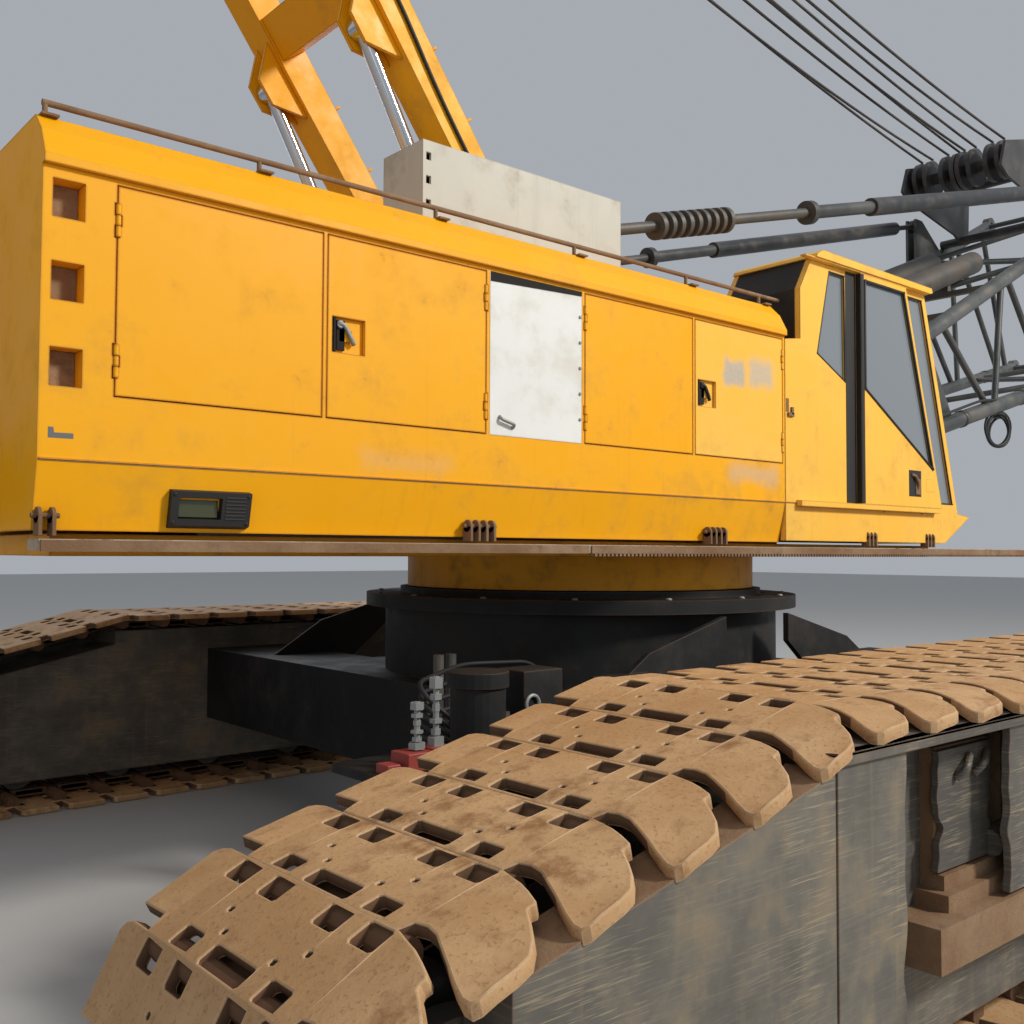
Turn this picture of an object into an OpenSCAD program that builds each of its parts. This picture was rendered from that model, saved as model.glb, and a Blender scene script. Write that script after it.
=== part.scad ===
/* [Crawlers] */
// inner edge of each track from the machine's middle
track_inner = 2420; // [2300:10:2600]
// width of one track shoe
shoe_width = 1200; // [900:10:1400]
// number of shoes in one loop
shoe_count = 57; // [50:1:70]
// shift of the first shoe along the loop
shoe_shift = 86; // [0:1:300]
// thickness of a shoe with its links
shoe_thick = 110; // [80:1:150]
// open slot between two neighbouring shoes
shoe_gap = 46; // [20:1:80]
// depth of that slot
shoe_notch = 36; // [15:1:60]
// half the distance between the end wheels
wheel_half = 3690; // [3300:10:4400]
// radius of the loop at its ends
end_radius = 500; // [450:5:560]
// where the top run starts to slope down
knee_x = 2300; // [1800:10:2600]
// height of the top run
track_top = 1350; // [1000:10:1600]
// step from the track's inner edge to the side frame
frame_inset = 300; // [250:10:350]
// width of the crawler side frame
frame_width = 700; // [600:10:760]
// plate that carries the wheels
cheek = 80; // [30:5:120]
// top of the side frame
frame_top = 1220; // [1000:10:1230]
// how far the sloped ends of the frame lie below its flat top
frame_step = 100; // [40:5:120]
// bottom of the closed side frame box
frame_low = 380; // [360:5:500]
// from the end wheel's axle back to the closed side frame box
frame_back = 370; // [340:5:450]
// thickness of the cover plate on each sloped end of the side frame
cover = 14; // [6:1:20]
// height of the dark strip along the top of a side frame
band = 50; // [30:5:90]
// radius of a lower roller
roller_r = 118; // [80:1:120]
// number of lower rollers on each side
roller_count = 9; // [6:1:12]
// radius of an end wheel
tumbler_r = 350; // [300:1:358]
// radius of an end wheel's axle
axle_r = 95; // [60:1:140]
// radius of a travel drive housing
drive_r = 240; // [150:5:300]
// how far a travel drive reaches in from the side frame
drive_len = 460; // [300:10:600]

/* [Carbody] */
// half width of the middle box
body_half = 1300; // [1000:10:1600]
// underside of the middle box
body_low = 480; // [300:10:700]
// top of the middle box and the cross beams
body_mid = 1050; // [900:10:1200]
// radius of the round pedestal
pedestal_r = 1340; // [1200:10:1500]
// radius of the plate under the slewing ring
plate_r = 1470; // [1350:10:1600]
// top of that plate
plate_top = 1560; // [1450:10:1600]
// thickness of that plate
plate_thick = 80; // [40:5:120]
// outer radius of the fixed slewing ring
ring_r = 1240; // [1195:5:1300]
// top of the fixed slewing ring
ring_top = 1600; // [1570:5:1640]
// near face of a cross beam from the middle
beam_near = 850; // [600:10:1000]
// far face of a cross beam from the middle
beam_far = 1500; // [1300:10:1800]

/* [Upper frame] */
// radius of the turning drum
drum_r = 1190; // [1000:10:1235]
// gap between the fixed ring and the turning drum
ring_gap = 6; // [3:1:20]
// radius of the spigot that the drum turns on
spigot_r = 1030; // [900:1:1100]
// underside of the deck plate
deck_low = 1810; // [1750:5:1850]
// top of the deck plate
deck_top = 1890; // [1860:5:1900]
// half width of the deck plate
deck_half = 1380; // [1200:10:1400]
// rear end of the deck plate
deck_rear = -3950; // [-4030:10:-3800]
// front end of the deck plate
deck_front = 2280; // [2000:10:2300]
// rear end of the long frame plates
frame_rear = -4620; // [-4800:10:-4500]
// top edge of the long frame plates
web_top = 2300; // [2200:10:2400]
// inner frame plate from the middle
web_in = 360; // [300:5:380]
// outer frame plate from the middle
web_out = 640; // [635:1:660]
// thickness of a frame plate
web = 40; // [20:1:45]

/* [Gantry] */
// foot pivot of the gantry legs along X
leg_x = -275; // [-500:5:0]
// foot pivot of the gantry legs along Z
leg_z = 2450; // [2300:5:2600]
// pivot to peak of a gantry leg
leg_len = 6570; // [6000:10:7000]
// upper pin of the rear stay, down from the peak along the leg
stay_drop = 66; // [0:1:150]
// upper pin of the rear stay, behind the leg's middle line
stay_back = 161; // [120:1:200]
// angle of a gantry leg from forward
leg_angle = 126.24; // [100:0.01:150]
// inner face of a gantry leg
leg_in = 410; // [405:1:450]
// outer face of a gantry leg
leg_out = 630; // [600:1:632]
// half depth of a gantry leg
leg_half = 100; // [60:1:140]
// half depth of a gantry leg at its foot
leg_foot = 70; // [50:1:100]
// pin radius at the feet, cylinders and links
pin_r = 45; // [30:1:60]
// cylinder pivot on the frame along X
cyl_x = -930; // [-1200:5:-700]
// cylinder pivot on the frame along Z
cyl_z = 2420; // [2300:5:2600]
// upper cylinder pin along X
lug_x = -2150; // [-2400:5:-1900]
// upper cylinder pin along Z
lug_z = 4660; // [4400:5:4900]
// radius of a cylinder barrel
barrel_r = 75; // [50:1:90]
// barrel length from its pivot
barrel_len = 1600; // [1200:10:1800]
// radius of a chrome rod
rod_r = 42; // [25:1:60]
// lower pivot of the rear stays along X
stay_x = -4450; // [-4600:5:-4300]
// lower pivot of the rear stays along Z
stay_z = 2300; // [2100:5:2500]
// radius of the outer stay tube
stay_r = 75; // [50:1:90]
// length of the outer stay tube
stay_len = 2750; // [2000:10:2800]
// radius of a peak sheave
sheave_r = 270; // [200:5:350]

/* [Machine house] */
// outer side face of the house
side_y = 1500; // [1400:5:1600]
// inner side face of the house
house_in = 690; // [680:1:800]
// rear face of the house
house_rear = -4035; // [-4200:5:-3900]
// front face of the house
house_front = 303; // [200:1:400]
// sheet thickness
sheet = 30; // [10:1:40]
// lower edge of the skirt
skirt_low = 1900; // [1895:1:2000]
// how far the skirt's lower edge is set in
skirt_in = 50; // [0:1:90]
// fold line above the skirt
fold_z = 2145; // [2050:5:2250]
// underside of the roof lip
lip_z = 3170; // [3100:5:3250]
// how far the lip stands out
lip_out = 22; // [5:1:40]
// upper fold of the roof edge
roof_fold = 3300; // [3250:5:3350]
// top of the roof
roof_z = 3370; // [3300:5:3450]
// lower edge of the doors
door_low = 2380; // [2300:5:2450]
// upper edge of the doors
door_top = 3150; // [3050:5:3160]
// rear edge of the first door
door_a = -3779; // [-3900:1:-3700]
// line between the first and second door
door_b = -2920; // [-3000:1:-2800]
// line between the second door and the plain panel
door_c = -2059; // [-2150:1:-1950]
// line between the plain panel and the third door
door_d = -1419; // [-1500:1:-1350]
// line between the third and fourth door
door_e = -560; // [-650:1:-500]
// front edge of the fourth door
door_f = 283; // [250:1:290]
// gap around a door
door_gap = 6; // [5:1:12]
// radius of a hinge knuckle
knuckle_r = 9; // [8:1:16]
// radius of a hinge pin
hinge_pin = 4; // [3:1:6]
// height of the lower hinge
hinge_low = 2450; // [2400:5:2600]
// height of the upper hinge
hinge_high = 2960; // [2800:5:3000]
// width of the walkway beside the deck
walk_width = 130; // [100:5:200]
// how far the front step reaches past the deck
step_reach = 1340; // [1000:10:1500]
// radius of the handrail pipe
rail_r = 12; // [8:1:20]
// height of the handrail pipe
rail_z = 3440; // [3400:5:3600]
// handrail from the middle
rail_y = 1350; // [1300:5:1400]

/* [Cab] */
// inner side face of the cab
cab_in = 900; // [897:1:950]
// panel thickness of the cab
cab_wall = 40; // [20:1:50]
// roof underside
cab_top = 3710; // [3650:5:3750]
// roof thickness
cab_roof_thick = 50; // [30:1:80]
// how far the roof stands out past the sides
cab_lip = 50; // [42:1:80]
// thickness of a glass pane
pane = 6; // [4:1:10]
// thickness of the sliding door
cab_door_thick = 35; // [20:1:40]
// gap between the sliding door and the cab side
cab_door_gap = 6; // [5:1:10]

/* [Boom] */
// boom foot pivot along X
foot_x = 900; // [800:5:1000]
// boom foot pivot along Z
foot_z = 2370; // [2300:5:2500]
// chords from the middle
chord_y = 800; // [700:5:850]
// radius of a chord tube
chord_r = 70; // [50:1:80]
// lower chord line at the foot
low_z = 2230; // [2150:5:2300]
// rise of the lower chord per length
low_rise = 0.2625; // [0.2:0.0005:0.35]
// upper chord line at the foot
high_z = 2500; // [2400:5:2600]
// rise of the upper chord per length
high_rise = 0.492; // [0.4:0.001:0.6]
// end of the lower chord along X
low_end = 8750; // [7000:10:9500]
// end of the upper chord along X
high_end = 8097; // [6500:10:9000]
// radius of a lacing tube
lace_r = 30; // [20:1:45]
// half thickness of a foot lug
foot_half = 60; // [40:1:65]
// radius of a foot lug
foot_r = 150; // [100:5:200]
// bore radius of the chord end lugs
end_bore = 35; // [20:1:45]

/* [Backstops and ropes] */
// backstop pivot on the roof along X
stop_x = -600; // [-700:5:-500]
// backstop pivot on the roof along Z
stop_z = 3800; // [3700:5:3900]
// rise of the backstop per length
stop_rise = 0.27; // [0.2:0.005:0.35]
// radius of the inner rod
stop_rod = 36; // [20:1:45]
// radius of the middle tube
stop_mid = 50; // [46:1:60]
// radius of the outer tube
stop_tube = 72; // [55:1:85]
// radius of the spring and the ring
spring_r = 88; // [70:1:89]
// radius of one luffing rope
rope_r = 13; // [6:1:20]

/* [View] */
// which sub-part is shown

/* [Hidden] */
$fn = 48;
pin_gap = 10;
fit = 0.05;
seam = 0.3;
frame_in = track_inner + frame_inset;
frame_out = frame_in + frame_width;
frame_end = wheel_half - frame_back;
drop = track_top - end_radius;
reach = wheel_half - knee_x;
span = sqrt(reach * reach + drop * drop);
slope = atan2(drop, reach) - asin(end_radius / span);
ramp = sqrt(span * span - end_radius * end_radius);
arc_deg = 180 - slope;
arc_len = arc_deg * PI / 180 * end_radius;
loop_len = 2 * wheel_half + 2 * arc_len + 2 * ramp + 2 * knee_x;
pitch = loop_len / shoe_count;
leg_dir = [cos(leg_angle), sin(leg_angle)];
leg_nor = [sin(leg_angle), -cos(leg_angle)];
boom_tilt = atan((low_rise + high_rise) / 2);
stop_dir = [cos(atan(stop_rise)), sin(atan(stop_rise))];

// a point on the track's outline at distance s along it, d inside of it
function on_loop(r, d) = let(s = r % loop_len)
  s < 2 * wheel_half ? [-wheel_half + s, d] :
  s < 2 * wheel_half + arc_len ?
    let(a = -90 + (s - 2 * wheel_half) / end_radius * 180 / PI)
    [wheel_half + (end_radius - d) * cos(a), end_radius + (end_radius - d) * sin(a)] :
  s < 2 * wheel_half + arc_len + ramp ?
    let(t = s - 2 * wheel_half - arc_len,
        p = [wheel_half + (end_radius - d) * sin(slope), end_radius + (end_radius - d) * cos(slope)])
    [p[0] - t * cos(slope), p[1] + t * sin(slope)] :
  s < 2 * wheel_half + arc_len + ramp + 2 * knee_x ?
    [knee_x - (s - 2 * wheel_half - arc_len - ramp), track_top - d] :
  let(m = on_loop(2 * (2 * wheel_half + arc_len + ramp + knee_x) - s, d))
    [-m[0], m[1]];

// a flat outline in X and Z, from y0 to y1
module pxz(pts, y0, y1) {
  translate([0, y1, 0]) rotate([90, 0, 0]) linear_extrude(y1 - y0) polygon(pts);
}

// a flat outline in Y and Z, from x0 to x1
module pyz(pts, x0, x1) {
  translate([x0, 0, 0]) rotate([90, 0, 90]) linear_extrude(x1 - x0) polygon(pts);
}

// a round bar along Y
module bar_y(x, z, r, y0, y1) {
  translate([x, y1, z]) rotate([90, 0, 0]) cylinder(r = r, h = y1 - y0);
}

// a box between two corners
module block(a, b) {
  translate(a) cube([b[0] - a[0], b[1] - a[1], b[2] - a[2]]);
}

// a round bar between two points
module tube(p, q, r) {
  v = [q[0] - p[0], q[1] - p[1], q[2] - p[2]];
  n = norm(v);
  translate(p) rotate([0, acos(v[2] / n), atan2(v[1], v[0])]) cylinder(r = r, h = n);
}

// the same on both sides
module both() {
  children();
  mirror([0, 1, 0]) children();
}

module track_loop() {
  outer = [for (i = [0 : shoe_count - 1]) each [
    on_loop(shoe_shift + i * pitch + shoe_gap / 2, 0),
    on_loop(shoe_shift + (i + 1) * pitch - shoe_gap / 2, 0),
    on_loop(shoe_shift + (i + 1) * pitch - shoe_gap / 2, shoe_notch),
    on_loop(shoe_shift + (i + 1) * pitch + shoe_gap / 2, shoe_notch)]];
  inner = [for (i = [0 : shoe_count - 1]) on_loop(shoe_shift + (i + 0.5) * pitch, shoe_thick)];
  difference() {
    pxz(outer, track_inner, track_inner + shoe_width);
    pxz(inner, track_inner - 10, track_inner + shoe_width + 10);
  }
}

module track_right() {
  color([0.42, 0.3, 0.2]) mirror([0, 1, 0]) track_loop();
}

module track_left() {
  color([0.42, 0.3, 0.2]) track_loop();
}

module frame_half() {
  fall = tan(slope) * 0.9;
  k = knee_x - 60;
  low_top = frame_top - frame_step;
  box_end = low_top - (frame_end - k) * fall;
  tip = low_top - (wheel_half - k) * fall - 20;
  pxz([[-frame_end, frame_low], [frame_end, frame_low], [frame_end, box_end], [k, low_top],
    [k, frame_top], [-k, frame_top], [-k, low_top], [-frame_end, box_end]], frame_in, frame_out);
  for (y = [frame_in, frame_out - cheek]) {
    pxz([[-wheel_half, 175], [wheel_half, 175], [wheel_half, tip], [frame_end, box_end], [k, low_top],
      [-k, low_top], [-frame_end, box_end], [-wheel_half, tip]], y, y + cheek);
    for (x = [-wheel_half, wheel_half]) bar_y(x, end_radius, tumbler_r - 30, y, y + cheek);
  }
  for (s = [-1, 1]) pxz([[s * wheel_half, 175], [s * k, 175], [s * k, low_top], [s * frame_end, box_end],
    [s * wheel_half, tip]], frame_out, frame_out + cover);
  pxz([[20 - k, frame_top - band], [k - 20, frame_top - band], [k - 20, frame_top],
    [20 - k, frame_top]], frame_out, frame_out + 2 * cover);
}

module side_frames() {
  color([0.1, 0.1, 0.1]) both() frame_half();
}

module wheels_half() {
  step = 2 * (frame_end - 420) / (roller_count - 1);
  for (i = [0 : roller_count - 1])
    bar_y(-frame_end + 420 + i * step, shoe_thick + roller_r + 2, roller_r,
      frame_in + cheek, frame_out - cheek);
  for (x = [-wheel_half, wheel_half]) {
    bar_y(x, end_radius, tumbler_r, frame_in + cheek + 60, frame_out - cheek - 60);
    bar_y(x, end_radius, axle_r, frame_in + cheek, frame_out - cheek);
  }
}

module track_wheels() {
  color([0.2, 0.16, 0.13]) both() wheels_half();
}

module travel_drives() {
  color([0.09, 0.09, 0.09]) both() {
    bar_y(-wheel_half, end_radius, drive_r, frame_in - drive_len * 0.55, frame_in);
    bar_y(-wheel_half, end_radius, drive_r * 0.7, frame_in - drive_len, frame_in - drive_len * 0.55);
    bar_y(-wheel_half, end_radius, drive_r * 0.8, frame_out + cover, frame_out + 90);
    bar_y(wheel_half, end_radius, drive_r * 0.6, frame_out + cover, frame_out + 50);
  }
}

module steps_half() {
  // inner X, outer X, how far it stands out, lower Z, upper Z
  parts = [[560, 1910, 180, 500, 645], [700, 1740, 120, 645, 700], [900, 1700, 85, 700, 750],
    [1300, 1700, 50, 750, frame_top - band], [700, 1200, 50, 750, frame_top - band]];
  for (s = [-1, 1], b = parts) block([s > 0 ? b[0] : -b[1], frame_out, b[3]],
    [s > 0 ? b[1] : -b[0], frame_out + b[2], b[4]]);
}

module side_steps() {
  color([0.2, 0.13, 0.09]) both() steps_half();
}

module carbody() {
  color([0.1, 0.1, 0.1]) {
    for (s = [-1, 1]) block([s > 0 ? beam_near : -beam_far, -frame_in, body_low + 20],
      [s > 0 ? beam_far : -beam_near, frame_in, body_mid - seam]);
    difference() {
      block([-beam_near + seam, -body_half, body_low], [beam_near - seam, body_half, body_mid]);
      translate([0, 0, body_low - 10]) cylinder(r = 420, h = 260);
    }
    translate([0, 0, body_mid]) cylinder(r = pedestal_r, h = plate_top - plate_thick - body_mid);
    translate([0, 0, plate_top - plate_thick]) cylinder(r = plate_r, h = plate_thick);
    translate([0, 0, plate_top]) cylinder(r = ring_r, h = ring_top - plate_top);
    translate([0, 0, ring_top]) cylinder(r = spigot_r - fit, h = 90);
  }
}

module carbody_hydraulics() {
  color([0.16, 0.16, 0.16]) {
    block([-beam_far - 420, -1300, 700], [-beam_far, -760, 780]);
    block([-beam_far - 330, -1250, 780], [-beam_far - 60, -1000, 1060]);
    for (y = [-940, -820]) translate([-beam_far - 200, y, 780]) cylinder(r = 50, h = 420);
    for (x = [-380, -300]) translate([-beam_far + x, -900, 780]) cylinder(r = 28, h = 520);
  }
}

module slew_drum() {
  color([0.85, 0.6, 0.05]) translate([0, 0, ring_top + ring_gap]) difference() {
    cylinder(r = drum_r, h = deck_low - ring_top - ring_gap);
    translate([0, 0, -5]) cylinder(r = spigot_r, h = deck_low - ring_top - ring_gap - 60);
  }
}

module ear(x, z, r, y0, y1) {
  difference() {
    union() {
      bar_y(x, z, r, y0, y1);
      block([x - r, y0, deck_top + seam], [x + r, y1, z]);
    }
    bar_y(x, z, pin_r, y0 - 5, y1 + 5);
  }
}

module web_plate(y0, y1) {
  pxz([[frame_rear, 1980], [frame_rear + 700, deck_top + seam], [deck_front - 900, deck_top + seam],
    [deck_front - 900, web_top - 60], [leg_x + 420, web_top], [cyl_x - 420, web_top],
    [frame_rear, web_top - 60]], y0, y1);
  for (p = [[leg_x, leg_z], [cyl_x, cyl_z]]) difference() {
    pxz([[p[0] - 260, web_top - 10], [p[0] + 260, web_top - 10], [p[0] + 120, p[1] + 130],
      [p[0] - 120, p[1] + 130]], y0, y1);
    bar_y(p[0], p[1], pin_r + 2, y0 - 5, y1 + 5);
  }
  difference() {
    bar_y(stay_x, stay_z, 130, y0, y1);
    bar_y(stay_x, stay_z, pin_r + 2, y0 - 5, y1 + 5);
  }
}

module upper_frame() {
  color([0.83, 0.58, 0.05]) {
    block([deck_rear, -deck_half, deck_low], [deck_front, deck_half, deck_top]);
    both() {
      web_plate(web_in, web_in + web);
      web_plate(web_out, web_out + web);
      for (y = [chord_y - foot_half - pin_gap - web, chord_y + foot_half + pin_gap])
        ear(foot_x, foot_z, 170, y, y + (y > chord_y ? web - 15 : web));
    }
    difference() {
      block([frame_rear + 60, seam - web_in, 2000], [frame_rear + 160, web_in - seam, web_top - 90]);
      for (y = [-220, 220]) translate([frame_rear + 50, y, 2105]) rotate([0, 90, 0])
        cylinder(r = 40, h = 130);
    }
  }
}

// the wall's part of a hinge; w is the side the wall is on, -1 behind and 1 in front
module wall_hinge(x, w) {
  for (z = [hinge_low, hinge_high]) difference() {
    union() {
      translate([x, side_y, z + 42]) cylinder(r = knuckle_r, h = 36);
      block([w < 0 ? x - 24 : x + 7, side_y - 9, z + 42], [w < 0 ? x - 7 : x + 24, side_y - 1, z + 78]);
    }
    translate([x, side_y, z + 40]) cylinder(r = hinge_pin, h = 40);
  }
}

// the door's part of a hinge, with its pin
module door_hinge(x) {
  for (z = [hinge_low, hinge_high]) {
    for (d = [0, 81]) translate([x, side_y, z + d]) cylinder(r = knuckle_r, h = 39);
    translate([x, side_y, z + 1]) cylinder(r = hinge_pin - fit, h = 118);
  }
}

// room for a hinge, cut from the wall or, between its knuckles, from the door
module hinge_room(x, a, b) {
  for (z = [hinge_low, hinge_high])
    block([x - knuckle_r - 5, side_y - knuckle_r - 5, z + a], [x + knuckle_r + 5, side_y + 5, z + b]);
}

// one side of the machine house, drawn on the left
module house(openings, panel) {
  q = skirt_in;
  for (d = openings) wall_hinge(d[2] < 0 ? d[0] + door_gap : d[1] - door_gap, d[2]);
  difference() {
    union() {
      pyz([[side_y - q, skirt_low], [side_y, fold_z], [side_y, lip_z], [side_y + lip_out, lip_z],
        [side_y + lip_out, lip_z + 30], [side_y - 30, roof_fold], [side_y - 100, roof_z],
        [house_in, roof_z], [house_in, deck_top], [house_in + sheet, deck_top],
        [house_in + sheet, roof_z - sheet], [side_y - 110, roof_z - sheet],
        [side_y - sheet - 25, roof_fold - 5], [side_y - sheet, lip_z + 20],
        [side_y - sheet, fold_z + 3], [side_y - q - sheet, skirt_low]], house_rear, house_front);
      for (x = [house_rear, house_front - sheet])
        pyz([[side_y - q - 2, skirt_low], [side_y - 2, fold_z], [side_y - 2, lip_z + 30],
          [side_y - 32, roof_fold - 2], [side_y - 102, roof_z - 2], [house_in + 2, roof_z - 2],
          [house_in + 2, skirt_low]], x, x + sheet);
    }
    for (d = openings) {
      block([d[0], side_y - sheet - 5, door_low], [d[1], side_y + 5, door_top]);
      hinge_room(d[2] < 0 ? d[0] + door_gap : d[1] - door_gap, -4, 124);
    }
    if (panel) block([door_c + 20, side_y - sheet - 5, door_low], [door_d - 20, side_y + 5, door_top]);
    for (z = [2400, 2700, 2990]) block([house_rear + 35, side_y - sheet - 5, z],
      [house_rear + 145, side_y + 5, z + 135]);
  }
  for (z = [2400, 2700, 2990]) difference() {
    block([house_rear + sheet, side_y - sheet - 90, z - 10], [house_rear + 155, side_y - sheet, z + 145]);
    block([house_rear + 35, side_y - sheet - 80, z], [house_rear + 145, side_y - sheet + 5, z + 135]);
  }
}

module right_house() {
  color([0.93, 0.65, 0.04]) mirror([0, 1, 0])
    house([[door_a, door_b - 8, -1], [door_b + 8, door_c, 1], [door_d, door_e - 8, -1],
      [door_e + 8, door_f, 1]], true);
}

module left_house() {
  color([0.93, 0.65, 0.04]) house([[door_a, door_b - 8, -1], [door_d, door_e - 8, -1]], false);
}

module primer_panel() {
  color([0.85, 0.85, 0.84]) block([door_c + 20, -side_y, door_low], [door_d - 20, -side_y + sheet, door_top]);
}

// a door leaf on the left side, with a handle pocket at one edge; w is its hinge side
module leaf(x0, x1, hand, w) {
  g = door_gap;
  h = hand > 0 ? x1 - g - 180 : x0 + g + 20;
  door_hinge(w < 0 ? x0 + g : x1 - g);
  difference() {
    block([x0 + g, side_y - sheet, door_low + g], [x1 - g, side_y, door_top - g]);
    hinge_room(w < 0 ? x0 + g : x1 - g, 39, 81);
    if (hand != 0) block([h, side_y - 20, 2660], [h + 160, side_y + 5, 2810]);
  }
  if (hand != 0) block([h + 40, side_y - 21, 2710], [h + 100, side_y - 8, 2760]);
}

module right_door_1() {
  color([0.93, 0.65, 0.04]) mirror([0, 1, 0]) leaf(door_a, door_b - 8, 0, -1);
}

module right_door_2() {
  color([0.93, 0.65, 0.04]) mirror([0, 1, 0]) leaf(door_b + 8, door_c, -1, 1);
}

module right_door_3() {
  color([0.93, 0.65, 0.04]) mirror([0, 1, 0]) leaf(door_d, door_e - 8, 0, -1);
}

module right_door_4() {
  color([0.93, 0.65, 0.04]) mirror([0, 1, 0]) leaf(door_e + 8, door_f, -1, 1);
}

module left_door_1() {
  color([0.93, 0.65, 0.04]) leaf(door_a, door_b - 8, 1, -1);
}

module left_door_2() {
  color([0.93, 0.65, 0.04]) leaf(door_d, door_e - 8, 1, -1);
}

module side_lamp() {
  color([0.05, 0.05, 0.05]) {
    slant = skirt_in / (fold_z - skirt_low);
    y0 = side_y - (fold_z - 2060) * slant;
    y1 = side_y - (fold_z - 1915) * slant;
    mirror([0, 1, 0]) difference() {
      pyz([[y1 + seam, 1915], [y0 + seam, 2060], [y0 + 30, 2052], [y1 + 32, 1925]], -3560, -3240);
      block([-3530, y1 + 14, 1950], [-3360, y1 + 90, 2030]);
    }
  }
}

module walkways() {
  color([0.3, 0.2, 0.15]) both() {
    z = deck_low + 20;
    w = deck_half + walk_width;
    block([deck_rear - 75, deck_half, z], [deck_front, w, z + 40]);
    block([deck_front, w - 250, z], [deck_front + step_reach, w, z + 40]);
  }
}

module handrails() {
  color([0.35, 0.22, 0.15]) both() {
    tube([house_rear + 35, rail_y, rail_z], [450, rail_y, rail_z], rail_r);
    for (x = [house_rear + 45, -3150, -2250, -1350, -450, 250])
      translate([x, rail_y, roof_z]) cylinder(r = rail_r - 2, h = rail_z - roof_z);
    translate([450, rail_y, rail_z]) sphere(r = rail_r);
  }
}

module sheet_box() {
  color([0.45, 0.48, 0.5]) {
    difference() {
      block([-2110, -1050, roof_z], [-680, -house_in - 5, 3900]);
      block([-2095, -1035, roof_z + 15], [-695, -house_in - 20, 3885]);
      for (z = [3460, 3580, 3700, 3820]) block([-2090, -1060, z - 20], [-2060, -1030, z + 20]);
    }
    both() for (y = [chord_y - 70, chord_y + 40]) difference() {
      pxz([[stop_x - 75, roof_z], [stop_x + 75, roof_z], [stop_x + 60, stop_z + 60],
        [stop_x - 60, stop_z + 60]], y, y + 30);
      bar_y(stop_x, stop_z, 30, y - 5, y + 35);
    }
  }
}

module winches() {
  color([0.14, 0.14, 0.14]) for (w = [[-2750, 2290, 330], [-1700, 2290, 350], [-250, 2290, 350]]) {
    bar_y(w[0], w[1], w[2] * 0.66, -300, 300);
    for (y = [-340, 270]) bar_y(w[0], w[1], w[2], y, y + 70);
    bar_y(w[0], w[1], 70, -web_in, web_in);
  }
}

module engine_block() {
  color([0.3, 0.32, 0.3]) block([-3400, -1370, deck_top], [-1950, -820, 2880]);
}

module cab_side(y0, y1) {
  pxz([[310, 1910], [2300, 1910], [2680, 2110], [2500, 2130], [2030, cab_top], [600, cab_top],
    [475, 3500], [475, 3155 + 25], [310, 3155]], y0, y1);
}

module cab_outer_side() {
  y0 = -side_y - cab_door_gap - cab_door_thick;
  color([0.93, 0.65, 0.04]) {
    block([420, y0, 2125], [2150, -side_y, 2160 - 0.3]);
    block([480, y0, 3700.3], [1740, -side_y, cab_top]);
  }
  color([0.93, 0.65, 0.04]) difference() {
    cab_side(-side_y, -side_y + cab_wall);
    pxz([[800, 3660], [975, 3660], [985, 2960], [660, 3110]], -side_y - 5, -side_y + cab_wall + 5);
    pxz([[1150, 2200], [2120, 2200], [1675, 3660], [1150, 3660]], -side_y - 5, -side_y + cab_wall + 5);
    pxz([[1780, 3660], [1985, 3660], [2415, 2200], [2225, 2200]], -side_y - 5, -side_y + cab_wall + 5);
  }
}

module cab_inner_side() {
  color([0.93, 0.65, 0.04]) difference() {
    cab_side(-cab_in - cab_wall, -cab_in);
    pxz([[760, 3620], [1960, 3620], [2300, 2500], [760, 2500]], -cab_in - cab_wall - 5, -cab_in + 5);
  }
}

module cab_front() {
  color([0.9, 0.62, 0.04]) difference() {
    pxz([[1985, cab_top], [2030, cab_top], [2500, 2130], [2455, 2130]],
      -side_y + cab_wall, -cab_in - cab_wall);
    block([1800, -side_y + cab_wall + 40, 2260], [2700, -cab_in - cab_wall - 40, 3640]);
  }
}

module cab_roof() {
  color([0.93, 0.65, 0.04]) pxz([[585, cab_top], [2035, cab_top], [2065, cab_top + 10],
    [2050, cab_top + cab_roof_thick - 8], [660, cab_top + cab_roof_thick + 5],
    [600, cab_top + 25]], -side_y - cab_lip, -cab_in + 3);
}

module cab_tub() {
  color([0.13, 0.13, 0.13]) {
    pxz([[350, 1910], [2300, 1910], [2680, 2110], [2500, 2130], [2455, 2130], [2270, 1970],
      [350, 1970]], -side_y + cab_wall, -cab_in - cab_wall);
    pxz([[310, 1910], [350, 1910], [350, 3140], [515, 3140], [515, 3490], [640, cab_top],
      [600, cab_top], [475, 3500], [475, 3180], [310, 3155]], -side_y + cab_wall, -cab_in - cab_wall);
  }
}

module cab_glass() {
  color([0.1, 0.12, 0.13, 0.35]) {
    mid = side_y - cab_wall / 2;
    pxz([[800, 3660], [975, 3660], [985, 2960], [660, 3110]], -mid - pane / 2, -mid + pane / 2);
    pxz([[1780, 3660], [1985, 3660], [2415, 2200], [2225, 2200]], -mid - pane / 2, -mid + pane / 2);
    pxz([[760, 3620], [1960, 3620], [2300, 2500], [760, 2500]],
      -cab_in - cab_wall / 2 - pane / 2, -cab_in - cab_wall / 2 + pane / 2);
    intersection() {
      pxz([[2008, cab_top], [2014, cab_top], [2484, 2130], [2478, 2130]],
        -side_y + cab_wall, -cab_in - cab_wall);
      block([1800, -side_y + cab_wall + 40, 2260], [2700, -cab_in - cab_wall - 40, 3640]);
    }
  }
}

module cab_seat() {
  color([0.08, 0.08, 0.08]) {
    m = -(side_y + cab_in) / 2;
    block([900, m - 190, 1970], [1250, m + 190, 2240]);
    block([820, m - 220, 2240], [1330, m + 220, 2380]);
    pxz([[820, 2380], [930, 2380], [830, 3020], [720, 3020]], m - 210, m + 210);
    pxz([[740, 3020], [810, 3020], [790, 3220], [725, 3220]], m - 130, m + 130);
    for (y = [-225, 165]) {
      block([1000, m + y, 2380], [1060, m + y + 60, 2560]);
      block([960, m + y, 2560], [1240, m + y + 60, 2600]);
    }
    pxz([[1950, 1970], [2080, 1970], [1930, 2560], [1820, 2560]], m - 60, m + 60);
  }
}

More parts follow.
